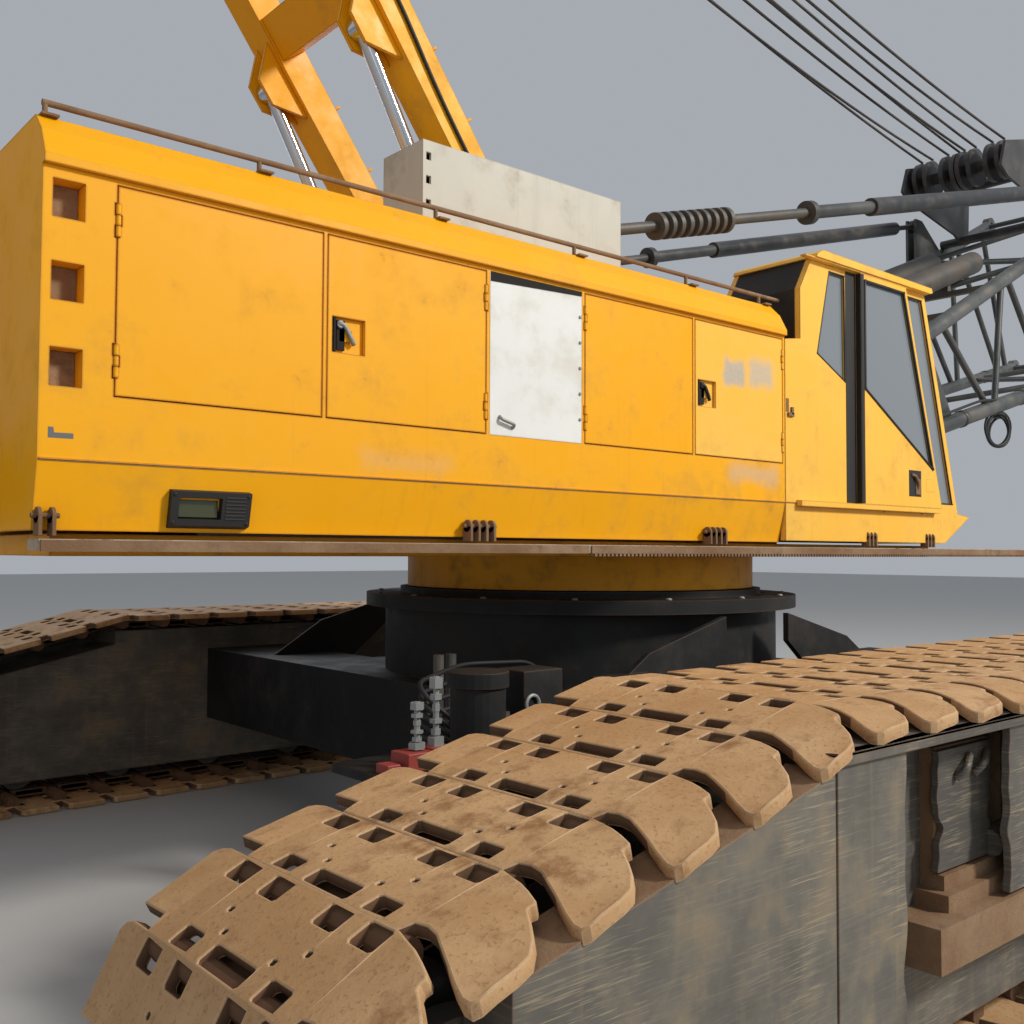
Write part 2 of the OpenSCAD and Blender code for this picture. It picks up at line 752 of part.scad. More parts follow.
module cab_door() {
  y1 = -side_y - cab_door_gap;
  y0 = y1 - cab_door_thick;
  color([0.93, 0.65, 0.04]) difference() {
    pxz([[1110, 2160], [2183, 2160], [1700, 3700], [1110, 3700]], y0, y1);
    pxz([[1160, 3655], [1665, 3655], [2050, 2440], [1160, 2930]], y0 - 5, y1 + 5);
    block([1960, y0 - 5, 2280], [2060, y0 + 14, 2360]);
  }
}

module cab_door_glass() {
  m = -side_y - cab_door_gap - cab_door_thick / 2;
  color([0.1, 0.12, 0.13, 0.35]) pxz([[1160, 3655], [1665, 3655], [2050, 2440], [1160, 2930]],
    m - pane / 2, m + pane / 2);
}

slack = 1.5;
eye_in = leg_in + 65;
eye_out = leg_out - 65;
cyl_vec = [lug_x - cyl_x, lug_z - cyl_z];
cyl_pin = norm(cyl_vec);
cyl_dir = cyl_vec / cyl_pin;
stay_top = [leg_x + (leg_len - stay_drop) * leg_dir[0] - stay_back * leg_nor[0],
  leg_z + (leg_len - stay_drop) * leg_dir[1] - stay_back * leg_nor[1]];
lug_t = (lug_x - leg_x) * leg_dir[0] + (lug_z - leg_z) * leg_dir[1];
stay_vec = [stay_top[0] - stay_x, stay_top[1] - stay_z];
stay_pin = norm(stay_vec);
stay_dir = stay_vec / stay_pin;
stop_pin = 7043;
bridle_x = 5750;
bridle_z = 5950;
bridle_r = 200;
bridle_y = 520;

// a point along a gantry leg, o in front of its middle line
function leg_pt(t, o) = [leg_x + t * leg_dir[0] + o * leg_nor[0], leg_z + t * leg_dir[1] + o * leg_nor[1]];
// a point at distance s from a pivot
function along(x, z, d, s, y) = [x + s * d[0], y, z + s * d[1]];
// the chord lines
function low_pt(x) = [x, low_z + low_rise * (x - foot_x)];
function high_pt(x) = [x, high_z + high_rise * (x - foot_x)];
function on_side(p, y) = [p[0], y, p[1]];

module chord_tubes(r) {
  for (c = [[low_pt(foot_x + 60), low_pt(low_end - 70)], [high_pt(foot_x + 20), high_pt(high_end - 62)]])
    tube(on_side(c[0], chord_y), on_side(c[1], chord_y), r);
}

module chord_half() {
  a = low_pt(low_end);
  b = high_pt(high_end);
  s = along(stop_x, stop_z, stop_dir, stop_pin, 0);
  difference() {
    union() {
      chord_tubes(chord_r);
      for (p = [a, b]) bar_y(p[0], p[1], 95, chord_y - 40, chord_y + 40);
      for (y = [chord_y - 65, chord_y + 35]) pxz([high_pt(6130), high_pt(6750), [s[0] + 70, s[2] + 60],
        [s[0] - 70, s[2] + 60]], y, y + 30);
    }
    for (p = [a, b]) bar_y(p[0], p[1], end_bore, chord_y - 45, chord_y + 45);
    bar_y(foot_x, foot_z, foot_r + seam, chord_y - chord_r - 10, chord_y + chord_r + 10);
  }
  bar_y(foot_x, foot_z, foot_r, chord_y - foot_half, chord_y + foot_half);
  bar_y(foot_x, foot_z, pin_r - fit, chord_y - foot_half - pin_gap - web,
    chord_y + foot_half + pin_gap + web - 15);
  difference() {
    pxz([low_pt(foot_x + 60), low_pt(3850), high_pt(3350), high_pt(foot_x + 60)], chord_y - 12, chord_y + 12);
    for (x = [2950, 3120]) bar_y(x, (low_pt(3035)[1] + high_pt(3035)[1]) / 2 + (x - 3035) * 0.37, 170,
      chord_y - 20, chord_y + 20);
    chord_tubes(chord_r + seam);
    bar_y(foot_x, foot_z, foot_r + seam, chord_y - foot_half, chord_y + foot_half);
  }
}

module boom_chords() {
  color([0.07, 0.07, 0.08]) both() chord_half();
}

// a lacing tube that runs on a little inside the chords
module lace(p, q) {
  v = [q[0] - p[0], q[1] - p[1], q[2] - p[2]];
  e = v / norm(v) * 34;
  tube([p[0] - e[0], p[1] - e[1], p[2] - e[2]], [q[0] + e[0], q[1] + e[1], q[2] + e[2]], lace_r);
}

module boom_lacing() {
  // upper chord X, lower chord X of each side tube
  sides = [[3660, 4540], [4840, 4660], [4960, 5840], [5940, 5960], [6060, 7090], [7090, 7210],
    [7210, 8290], [7900, 8520]];
  // right chord X, left chord X of each tube across the top and the bottom
  tops = [[3420, 3420], [3520, 4390], [5390, 4510], [5510, 6490], [7800, 6610], [7990, 7990]];
  bottoms = [[3950, 3950], [4060, 5140], [6390, 5260], [6510, 7640], [8410, 7760], [8620, 8620]];
  color([0.35, 0.34, 0.33]) {
    both() for (t = sides) lace(on_side(high_pt(t[0]), chord_y), on_side(low_pt(t[1]), chord_y));
    for (t = tops) lace(on_side(high_pt(t[0]), -chord_y), on_side(high_pt(t[1]), chord_y));
    for (t = bottoms) lace(on_side(low_pt(t[0]), -chord_y), on_side(low_pt(t[1]), chord_y));
  }
}

module bridle() {
  x = bridle_x;
  z = bridle_z;
  color([0.1, 0.1, 0.11]) {
    both() {
      difference() {
        pxz([[x - 300, z - 150], [x - 190, z + 130], [x + 750, z + 390], [x + 1250, z + 350],
          [x + 1210, z - 310], [x + 1050, z - 480], [x + 890, z - 390], [x - 150, z - 230]],
          bridle_y, bridle_y + 30);
        bar_y(x + 700, z + 100, 130, bridle_y - 5, bridle_y + 35);
      }
      bar_y(x + 1050, z - 430, 50, bridle_y + 30 + seam, chord_y - 30);
    }
    bar_y(x + 1050, z - 430, 50, seam - bridle_y, bridle_y - seam);
    bar_y(x + 1100, z + 200, 60, seam - bridle_y, bridle_y - seam);
    bar_y(x, z, 60, seam - bridle_y, bridle_y - seam);
    for (y = [-450, -330, -150, -30, 30, 150, 330, 450]) bar_y(x, z, bridle_r, y - 22, y + 22);
  }
}

module leg_half_side() {
  h = leg_half;
  pxz([leg_pt(0, -leg_foot), leg_pt(0, leg_foot), leg_pt(1200, h), leg_pt(leg_len - 320, h),
    leg_pt(leg_len - 320, -h), leg_pt(1200, -h)], leg_in, leg_out);
  bar_y(leg_x, leg_z, leg_foot + 20, leg_in, leg_out);
  bar_y(leg_x, leg_z, pin_r + 2 - fit, web_in, web_out + web);
  for (y = [leg_in, leg_out - 30]) pxz([leg_pt(leg_len - 470, -h), leg_pt(leg_len - 470, h),
    leg_pt(leg_len, h + 20), leg_pt(leg_len + 110, h), leg_pt(leg_len + 110, -h), leg_pt(leg_len, -270),
    leg_pt(leg_len - 190, -270)],
    y, y + 30);
  for (y = [eye_in - 30, eye_out + 5]) pxz([leg_pt(lug_t - 240, -h + 5), leg_pt(lug_t + 250, -h + 5),
    leg_pt(lug_t + 80, -280), leg_pt(lug_t - 80, -280)], y, y + 25);
}

module gantry_legs() {
  color([0.93, 0.65, 0.04]) {
    both() leg_half_side();
    for (t = [[leg_len * 0.457, leg_len * 0.496], [leg_len * 0.807, leg_len * 0.837]])
      pxz([leg_pt(t[0], -80), leg_pt(t[0], 90), leg_pt(t[1], 90), leg_pt(t[1], -80)], -leg_in, leg_in);
  }
}

module gantry_head() {
  p = leg_pt(leg_len, 0);
  m = leg_pt(leg_len * 0.647, 0);
  color([0.1, 0.1, 0.1]) {
    bar_y(p[0], p[1], 60, -leg_in, leg_in);
    for (y = [-360, -240, -90, 90, 240, 360]) bar_y(p[0], p[1], sheave_r, y - 25, y + 25);
    bar_y(m[0], m[1], 45, -leg_in, leg_in);
    for (y = [-80, 80]) bar_y(m[0], m[1], 190, y - 30, y + 30);
  }
}

module gantry_barrels() {
  color([0.85, 0.6, 0.05]) both() difference() {
    union() {
      bar_y(cyl_x, cyl_z, 85, eye_in, eye_out);
      bar_y(cyl_x, cyl_z, pin_r + 2 - fit, web_in, web_out + web);
      tube(along(cyl_x, cyl_z, cyl_dir, 50, 520), along(cyl_x, cyl_z, cyl_dir, barrel_len, 520), barrel_r);
    }
    tube(along(cyl_x, cyl_z, cyl_dir, 140, 520), along(cyl_x, cyl_z, cyl_dir, barrel_len + 5, 520),
      rod_r + slack);
  }
}

module gantry_rods() {
  color([0.75, 0.76, 0.78]) both() {
    tube(along(cyl_x, cyl_z, cyl_dir, 650, 520), along(cyl_x, cyl_z, cyl_dir, cyl_pin - 40, 520), rod_r);
    bar_y(lug_x, lug_z, 65, eye_in + 8, eye_out - 8);
  }
}

module stay_tubes() {
  color([0.85, 0.6, 0.05]) both() difference() {
    union() {
      bar_y(stay_x, stay_z, 95, eye_in, eye_out);
      bar_y(stay_x, stay_z, pin_r + 2 - fit, web_in, web_out + web);
      tube(along(stay_x, stay_z, stay_dir, 60, 520), along(stay_x, stay_z, stay_dir, stay_len, 520), stay_r);
    }
    tube(along(stay_x, stay_z, stay_dir, 120, 520), along(stay_x, stay_z, stay_dir, stay_len + 5, 520),
      stay_r - 25 + slack);
  }
}

module stay_rods() {
  color([0.6, 0.6, 0.6]) both() {
    tube(along(stay_x, stay_z, stay_dir, stay_pin - 2680, 520),
      along(stay_x, stay_z, stay_dir, stay_pin - 50, 520), stay_r - 25);
    bar_y(stay_top[0], stay_top[1], 85, eye_in, eye_out);
  }
}

module backstop_rods() {
  color([0.2, 0.2, 0.2]) both() {
    bar_y(stop_x, stop_z, 55, chord_y - 34, chord_y + 34);
    bar_y(stop_x, stop_z, 30 - fit, chord_y - 70, chord_y + 70);
    tube(along(stop_x, stop_z, stop_dir, 30, chord_y), along(stop_x, stop_z, stop_dir, 3500, chord_y),
      stop_rod);
    for (i = [0 : 8]) tube(along(stop_x, stop_z, stop_dir, 517 + i * 90, chord_y),
      along(stop_x, stop_z, stop_dir, 553 + i * 90, chord_y), spring_r);
    tube(along(stop_x, stop_z, stop_dir, 520, chord_y), along(stop_x, stop_z, stop_dir, 1270, chord_y),
      stop_rod + 24);
  }
}

module backstop_middles() {
  color([0.25, 0.22, 0.2]) both() difference() {
    union() {
      tube(along(stop_x, stop_z, stop_dir, 2290, chord_y), along(stop_x, stop_z, stop_dir, 4600, chord_y),
        stop_mid);
      tube(along(stop_x, stop_z, stop_dir, 2280, chord_y), along(stop_x, stop_z, stop_dir, 2340, chord_y),
        spring_r);
    }
    tube(along(stop_x, stop_z, stop_dir, 2270, chord_y), along(stop_x, stop_z, stop_dir, 4610, chord_y),
      stop_rod + slack);
  }
}

module backstop_tubes() {
  color([0.15, 0.15, 0.15]) both() {
    difference() {
      tube(along(stop_x, stop_z, stop_dir, 3221, chord_y), along(stop_x, stop_z, stop_dir, 6580, chord_y),
        stop_tube);
      tube(along(stop_x, stop_z, stop_dir, 3210, chord_y), along(stop_x, stop_z, stop_dir, 6380, chord_y),
        stop_mid + slack);
    }
    s = along(stop_x, stop_z, stop_dir, stop_pin, 0);
    tube(along(stop_x, stop_z, stop_dir, 6570, chord_y),
      along(stop_x, stop_z, stop_dir, stop_pin, chord_y), 27);
    bar_y(s[0], s[2], 70, chord_y - 28, chord_y + 28);
  }
}

module luffing_ropes() {
  p = leg_pt(leg_len, 0);
  color([0.2, 0.19, 0.18]) for (y = [-450, -330, -150, -30, 30, 150, 330, 450]) {
    z = y == 450 || y == -450 ? 20 : 0;
    tube([p[0] + 60, abs(y) > 380 ? y * 0.84 : y, p[1] + sheave_r + rope_r + 12 + z],
      [bridle_x, y, bridle_z + bridle_r + rope_r + 6], rope_r);
  }
}

carbody();
side_frames();
track_right();
track_left();
track_wheels();
travel_drives();
carbody_hydraulics();
side_steps();
slew_drum();
upper_frame();
right_house();
primer_panel();
left_house();
side_lamp();
walkways();
handrails();
sheet_box();
winches();
engine_block();
cab_roof();
cab_tub();
cab_outer_side();
cab_inner_side();
cab_front();
cab_glass();
cab_seat();
right_door_1();
right_door_2();
right_door_3();
right_door_4();
left_door_1();
left_door_2();
cab_door();
cab_door_glass();
boom_chords();
boom_lacing();
bridle();
gantry_legs();
gantry_head();
gantry_barrels();
gantry_rods();
stay_tubes();
stay_rods();
backstop_rods();
backstop_middles();
backstop_tubes();
luffing_ropes();
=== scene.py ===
import math
import random
import bpy
from mathutils import Vector, Matrix


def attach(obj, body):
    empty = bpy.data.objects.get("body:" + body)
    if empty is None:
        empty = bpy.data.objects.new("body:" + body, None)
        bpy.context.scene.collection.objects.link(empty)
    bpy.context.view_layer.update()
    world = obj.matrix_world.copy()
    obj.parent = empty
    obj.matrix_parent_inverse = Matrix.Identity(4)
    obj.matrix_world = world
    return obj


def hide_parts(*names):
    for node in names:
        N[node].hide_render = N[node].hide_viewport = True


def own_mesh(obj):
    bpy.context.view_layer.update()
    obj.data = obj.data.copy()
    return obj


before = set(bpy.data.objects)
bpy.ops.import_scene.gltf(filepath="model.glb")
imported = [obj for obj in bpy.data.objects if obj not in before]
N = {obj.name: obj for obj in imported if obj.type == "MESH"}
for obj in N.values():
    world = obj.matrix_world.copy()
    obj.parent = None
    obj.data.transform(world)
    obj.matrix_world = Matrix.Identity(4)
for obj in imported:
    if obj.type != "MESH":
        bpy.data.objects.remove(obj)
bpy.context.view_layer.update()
S = bpy.context.scene

# camera, solved from the photograph's straight edges
FRAME_PX, FOCAL_PX = 1024, 1038.787
YAW, PITCH_UP, ROLL = (math.radians(a) for a in (49.4404, 2.2259, 0.2471))
EYE = (-5.10, -5.24, 1.83)
cam = bpy.data.objects.new("camera", bpy.data.cameras.new("camera"))
S.collection.objects.link(cam)
S.camera = cam
cam.data.sensor_width = 36
cam.data.lens = 36 * FOCAL_PX / FRAME_PX
cam.location = EYE
cam.rotation_mode = "QUATERNION"
look = Vector((math.cos(YAW) * math.cos(PITCH_UP), math.sin(YAW) * math.cos(PITCH_UP), math.sin(PITCH_UP)))
right = Vector((math.sin(YAW), -math.cos(YAW), 0))
up = right.cross(look)
right, up = (right * math.cos(ROLL) + up * math.sin(ROLL), up * math.cos(ROLL) - right * math.sin(ROLL))
cam.rotation_quaternion = Matrix((right, up, -look)).transposed().to_quaternion()
cam.data.clip_start, cam.data.clip_end = 0.05, 200
S.render.resolution_x = S.render.resolution_y = FRAME_PX


# material helpers
def node(nt, kind, attrs=None, **ins):
    """a shader node; inputs are given by name, or as i0, i1 by their place"""
    n = nt.nodes.new("ShaderNode" + kind)
    for k, v in (attrs or {}).items():
        setattr(n, k, v)
    for k, v in ins.items():
        s = n.inputs[int(k[1:])] if k[0] == "i" and k[1:].isdigit() else n.inputs[k.replace("_", " ")]
        if isinstance(v, bpy.types.NodeSocket):
            nt.links.new(v, s)
        else:
            s.default_value = v
    return n


def mix(nt, f, a, b):
    return node(nt, "Mix", {"data_type": "RGBA", "blend_type": "MIX"}, i0=f, i6=a, i7=b).outputs[2]


def calc(nt, op, a, b=0.0):
    return node(nt, "Math", {"operation": op}, i0=a, i1=b).outputs[0]


def ramp(nt, v, lo, hi, a=0.0, b=1.0):
    """a where v is below lo, b where it is above hi, smooth between"""
    return node(nt, "MapRange", {"interpolation_type": "SMOOTHSTEP"}, i0=v, i1=lo, i2=hi, i3=a, i4=b).outputs[0]


def noise(nt, co, scale, detail=4, rough=0.55, stretch=None):
    if stretch:
        co = node(nt, "Mapping", None, Vector=co, Scale=stretch).outputs[0]
    return node(nt, "TexNoise", None, Vector=co, Scale=scale, Detail=detail, Roughness=rough).outputs[0]


def rgb(c):
    return (*c, 1.0)


def patch(nt, xyz, lo, hi, soft, wobble):
    """1 inside a box in X and Z with a ragged edge"""
    f = 1.0
    for i, s in ((0, xyz.outputs[0]), (1, xyz.outputs[2])):
        s = calc(nt, "ADD", s, wobble)
        f = calc(nt, "MULTIPLY", ramp(nt, s, lo[i] - soft, lo[i] + soft), f)
        f = calc(nt, "MULTIPLY", ramp(nt, s, hi[i] - soft, hi[i] + soft, 1.0, 0.0), f)
    return f


BARE_RUST = ((0.085, 0.032, 0.015), (0.23, 0.095, 0.04))
SCRATCH_COLOUR = (0.40, 0.31, 0.19)
# turn about Y, then how often a scratch starts along and across its own line, per metre
SCRATCHES = ((0.30, 3.0, 150), (0.52, 4.5, 170), (-0.45, 5.0, 180),
             (1.50, 3.5, 150), (1.10, 6.0, 170), (2.30, 5.0, 160))


def paint(name, base, rough=0.45, metal=0.0, fade=None, fade_amt=0.5, dirt=(0.12, 0.09, 0.06), dirt_amt=0.3,
          rust_amt=0.0, edge=0.0, streak=0.0, scale=1.0, bump=0.15, grain=0.0, patches=(), spec=0.5,
          scratch=0.0, worn=BARE_RUST, speck=0.0):
    """a used surface: faded areas, dirt, specks, bare places, scratches, rust and worn edges"""
    m = bpy.data.materials.new(name)
    m.use_nodes = True
    nt = m.node_tree
    shader = nt.nodes["Principled BSDF"]

    def plus(a, b):
        return calc(nt, "ADD", a, b)

    def times(a, b):
        return calc(nt, "MULTIPLY", a, b)

    co = node(nt, "TexCoord").outputs["Object"]
    xyz = node(nt, "SeparateXYZ", None, i0=co)
    big = noise(nt, co, 0.9 * scale, 6, 0.6)
    mid = noise(nt, co, 5.0 * scale, 8, 0.65)
    fine = noise(nt, co, 42.0 * scale, 6, 0.7)
    col = rgb(base)
    if fade:
        faded = ramp(nt, plus(times(big, 0.7), times(mid, 0.3)), 0.38, 0.66)
        col = mix(nt, times(faded, fade_amt), col, rgb(fade))
    d = times(ramp(nt, times(mid, plus(big, 0.45)), 0.45, 0.72), dirt_amt)
    if streak:
        runs = noise(nt, co, 3.0, 5, 0.6, (6.0, 6.0, 0.22))
        d = plus(d, times(ramp(nt, runs, 0.55, 0.78), streak))
    d = calc(nt, "MINIMUM", d, 0.9)
    col = mix(nt, d, col, rgb(dirt))
    if speck:
        col = mix(nt, times(ramp(nt, fine, 0.54, 0.64), speck), col, rgb(dirt))
    wobble = times(calc(nt, "SUBTRACT", mid, 0.5), 0.16)
    for lo, hi, colour, soft, strength in patches:
        f = times(patch(nt, xyz, lo, hi, soft, wobble), ramp(nt, fine, 0.3, 0.6, strength * 0.7, strength))
        col = mix(nt, f, col, rgb(colour))
    if scratch:
        here = ramp(nt, noise(nt, co, 3.5, 3, 0.5), 0.42, 0.62, 0.10, scratch)
        for turn, along, across in SCRATCHES:
            line = node(nt, "Mapping", None, Vector=co, Rotation=(0, turn, 0), Scale=(along, 1, across)).outputs[0]
            f = times(ramp(nt, noise(nt, line, 1.0, 2, 0.6), 0.635, 0.70), here)
            col = mix(nt, f, col, rgb(SCRATCH_COLOUR))
    wear = None
    if rust_amt:
        wear = times(ramp(nt, plus(times(mid, 0.6), times(fine, 0.4)), 0.60, 0.68), rust_amt)
    if edge:
        rounded = node(nt, "Bevel", {"samples": 4}, Radius=0.012).outputs[0]
        flat = node(nt, "NewGeometry").outputs["Normal"]
        same = node(nt, "VectorMath", {"operation": "DOT_PRODUCT"}, i0=rounded, i1=flat).outputs[1]
        ragged = times(calc(nt, "SUBTRACT", fine, 0.62), 0.25)
        e = times(ramp(nt, plus(calc(nt, "SUBTRACT", 1.0, same), ragged), 0.03, 0.09), edge)
        wear = e if wear is None else calc(nt, "MAXIMUM", wear, e)
    gloss = ramp(nt, mid, 0.3, 0.7, rough - 0.08, rough + 0.12)
    if wear is not None:
        col = mix(nt, wear, col, mix(nt, fine, rgb(worn[0]), rgb(worn[1])))
        gloss = calc(nt, "MAXIMUM", gloss, times(wear, 0.85))
    nt.links.new(col, shader.inputs["Base Color"])
    nt.links.new(gloss, shader.inputs["Roughness"])
    shader.inputs["Metallic"].default_value = metal
    shader.inputs["Specular IOR Level"].default_value = spec
    height = plus(times(mid, 0.7), times(fine, 0.3 + grain))
    dents = node(nt, "Bump", None, Strength=bump, Distance=0.012, Height=height)
    nt.links.new(dents.outputs[0], shader.inputs["Normal"])
    return m


def plain(name, base, rough=0.5, metal=0.0, **more):
    """an even surface"""
    m = bpy.data.materials.new(name)
    m.use_nodes = True
    shader = m.node_tree.nodes["Principled BSDF"]
    shader.inputs["Base Color"].default_value = rgb(base)
    shader.inputs["Roughness"].default_value = rough
    shader.inputs["Metallic"].default_value = metal
    for k, v in more.items():
        shader.inputs[k.replace("_", " ")].default_value = v
    return m


YELLOW, PALE_YELLOW = (0.87, 0.385, 0.002), (0.89, 0.44, 0.015)
CAB_YELLOW, PALE_CAB = (0.88, 0.475, 0.055), (0.90, 0.55, 0.12)
DUST = (0.42, 0.20, 0.04)
# a patch is its low and high corner in X and Z, colour, softness and strength
HOUSE_PATCHES = (((-0.24, 2.25), (0.24, 2.35), (0.42, 0.42, 0.40), 0.05, 0.45),
                 ((-2.75, 2.20), (-2.25, 2.27), (0.45, 0.42, 0.36), 0.05, 0.22))
DOOR_PATCHES = (((-0.30, 2.80), (-0.10, 2.95), (0.40, 0.40, 0.38), 0.030, 0.9),
                ((-0.05, 2.83), (0.19, 2.99), (0.44, 0.43, 0.39), 0.045, 0.8))
PAINTS = {
    "yellow": dict(base=YELLOW, rough=0.45, fade=PALE_YELLOW, fade_amt=0.5, dirt=DUST, dirt_amt=0.3,
                   rust_amt=0.3, edge=0.75, streak=0.14, bump=0.05, spec=0.22, patches=HOUSE_PATCHES),
    "yellow_cab": dict(base=CAB_YELLOW, rough=0.45, fade=PALE_CAB, fade_amt=0.5, dirt=DUST, dirt_amt=0.3,
                       rust_amt=0.3, edge=0.7, streak=0.14, bump=0.05, spec=0.22),
    "yellow_low": dict(base=(0.74, 0.33, 0.008), rough=0.5, fade=PALE_YELLOW, fade_amt=0.35,
                       dirt=(0.20, 0.10, 0.035), dirt_amt=0.6, rust_amt=0.5, edge=0.85, streak=0.25,
                       bump=0.08, spec=0.25),
    "door4": dict(base=CAB_YELLOW, rough=0.45, fade=PALE_CAB, fade_amt=0.6, dirt=DUST, dirt_amt=0.25,
                  rust_amt=0.3, edge=0.7, streak=0.14, bump=0.05, spec=0.22, patches=DOOR_PATCHES),
    "white": dict(base=(0.76, 0.77, 0.74), rough=0.6, fade=(0.66, 0.67, 0.65), fade_amt=0.5,
                  dirt=(0.5, 0.42, 0.28), dirt_amt=0.3, edge=0.4, bump=0.04, spec=0.3),
    # near black, partly painted shade: kept darker than the paint itself for the shaded carriage
    "black": dict(base=(0.010, 0.010, 0.011), rough=0.6, fade=(0.019, 0.018, 0.017), fade_amt=0.8,
                  dirt=(0.05, 0.036, 0.026), dirt_amt=0.4, rust_amt=0.2, edge=0.35, bump=0.2, spec=0.3),
    "side": dict(base=(0.075, 0.070, 0.062), rough=0.55, fade=(0.19, 0.175, 0.145), fade_amt=0.8,
                 dirt=(0.27, 0.19, 0.10), dirt_amt=0.45, rust_amt=0.15, scratch=0.42, edge=0.7,
                 streak=0.3, bump=0.12, spec=0.3),
    "shoe": dict(base=(0.43, 0.245, 0.11), rough=0.66, fade=(0.62, 0.41, 0.22), fade_amt=0.85,
                 dirt=(0.24, 0.11, 0.04), dirt_amt=0.9, scale=1.6, bump=0.3, grain=0.35, spec=0.3,
                 edge=0.55, worn=((0.55, 0.38, 0.22), (0.80, 0.66, 0.48)), speck=0.5),
    # a darker copy of the shoe's colour: painted shade for the hole walls and the links beneath the shoes
    "shoe_painted_shade": dict(base=(0.13, 0.068, 0.038), rough=0.8, fade=(0.20, 0.12, 0.065), fade_amt=0.7,
                     dirt=(0.06, 0.03, 0.018), dirt_amt=0.6, scale=1.6, bump=0.4, spec=0.2),
    "rust": dict(base=(0.19, 0.105, 0.055), rough=0.82, fade=(0.36, 0.25, 0.155), fade_amt=0.8,
                 dirt=(0.10, 0.045, 0.02), dirt_amt=0.6, scale=2.0, bump=0.5, grain=0.3, spec=0.25),
    "tread": dict(base=(0.33, 0.23, 0.15), rough=0.75, fade=(0.58, 0.51, 0.43), fade_amt=0.9,
                  dirt=(0.14, 0.06, 0.03), dirt_amt=0.85, scale=2.5, bump=0.4, grain=0.3, spec=0.25),
    "grey": dict(base=(0.50, 0.485, 0.42), rough=0.6, fade=(0.64, 0.61, 0.52), fade_amt=0.7,
                 dirt=(0.22, 0.18, 0.12), dirt_amt=0.45, rust_amt=0.2, edge=0.3, streak=0.25,
                 bump=0.08, spec=0.3),
    "boom": dict(base=(0.050, 0.055, 0.056), rough=0.35, metal=0.2, fade=(0.15, 0.155, 0.15),
                 fade_amt=0.7, dirt=(0.16, 0.12, 0.085), dirt_amt=0.4, rust_amt=0.3, edge=0.4, bump=0.12),
    "dark": dict(base=(0.020, 0.021, 0.024), rough=0.35, fade=(0.06, 0.058, 0.055), fade_amt=0.7,
                 dirt=(0.13, 0.10, 0.075), dirt_amt=0.4, rust_amt=0.25, edge=0.3, bump=0.12),
    "lace": dict(base=(0.030, 0.033, 0.033), rough=0.4, fade=(0.095, 0.10, 0.095), fade_amt=0.8,
                 dirt=(0.08, 0.06, 0.045), dirt_amt=0.5, rust_amt=0.3, bump=0.12),
    "machine": dict(base=(0.07, 0.07, 0.068), rough=0.5, metal=0.3, fade=(0.15, 0.13, 0.105),
                    fade_amt=0.8, dirt=(0.09, 0.06, 0.04), dirt_amt=0.6, rust_amt=0.3, bump=0.25),
    "rope": dict(base=(0.055, 0.050, 0.045), rough=0.5, metal=0.6, fade=(0.11, 0.10, 0.09),
                 fade_amt=0.7, dirt_amt=0.2, bump=0.3),
}
PLAIN = {
    "chrome": dict(base=(0.72, 0.74, 0.77), rough=0.12, metal=1.0),
    "rubber": dict(base=(0.012, 0.012, 0.013), rough=0.6),
    "glass": dict(base=(0.24, 0.27, 0.30), rough=0.08, Alpha=0.80, Specular_IOR_Level=0.7),
    "cloth": dict(base=(0.02, 0.02, 0.022), rough=0.9),
    "red": dict(base=(0.30, 0.045, 0.035), rough=0.5),
    "lens": dict(base=(0.045, 0.050, 0.015), rough=0.08, Specular_IOR_Level=0.9),
    "steel": dict(base=(0.30, 0.31, 0.30), rough=0.5, metal=0.3),
    "scuff": dict(base=(0.12, 0.125, 0.13), rough=0.6),
    # near black: painted shade in the door pockets and in the gap over the white panel; also the box behind the
    # lamp's lens
    "hole": dict(base=(0.01, 0.008, 0.006), rough=0.9),
}
M = {k: paint(k, **v) for k, v in PAINTS.items()}
M.update((k, plain(k, **v)) for k, v in PLAIN.items())

# which material each node of the solids wears
LOOK = {
    "yellow": "right_house left_house gantry_legs right_door_1 right_door_2 right_door_3 "
              "left_door_1 left_door_2",
    "yellow_cab": "cab_outer_side cab_inner_side cab_front cab_roof cab_door",
    "yellow_low": "slew_drum upper_frame gantry_barrels stay_tubes",
    "door4": "right_door_4",
    "white": "primer_panel",
    "black": "carbody travel_drives cab_tub gantry_head",
    "side": "side_frames",
    "shoe": "track_right track_left",
    "rust": "side_steps handrails",
    "tread": "walkways",
    "grey": "sheet_box",
    "boom": "boom_chords",
    "dark": "bridle backstop_tubes",
    "lace": "boom_lacing backstop_middles",
    "machine": "track_wheels carbody_hydraulics winches engine_block stay_rods backstop_rods",
    "chrome": "gantry_rods",
    "rubber": "side_lamp",
    "glass": "cab_glass cab_door_glass",
    "cloth": "cab_seat",
    "rope": "luffing_ropes",
}
SHARP_EDGED = ("track_right", "track_left", "luffing_ropes", "cab_glass", "cab_door_glass")
EDGE_ROUNDING = 0.004


def round_edges(o, width):
    b = o.modifiers.new("bevel", "BEVEL")
    b.width, b.segments, b.limit_method, b.angle_limit = width, 2, "ANGLE", math.radians(35)
    b.harden_normals = True


for k, names in LOOK.items():
    for n in names.split():
        N[n].data.materials.clear()
        N[n].data.materials.append(M[k])
for n, o in N.items():
    if n not in SHARP_EDGED:
        round_edges(o, EDGE_ROUNDING)
    for p in o.data.polygons:
        p.use_smooth = True


# mesh helpers; every place is in metres in the frame of the imported model
def add(name, verts, faces, mat, body, smooth=True, bevel=0.0):
    me = bpy.data.meshes.new(name)
    me.from_pydata([tuple(v) for v in verts], [], faces)
    me.update()
    o = bpy.data.objects.new(name, me)
    S.collection.objects.link(o)
    me.materials.append(M[mat])
    for p in me.polygons:
        p.use_smooth = smooth
    if bevel:
        round_edges(o, bevel)
    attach(o, body)
    return o


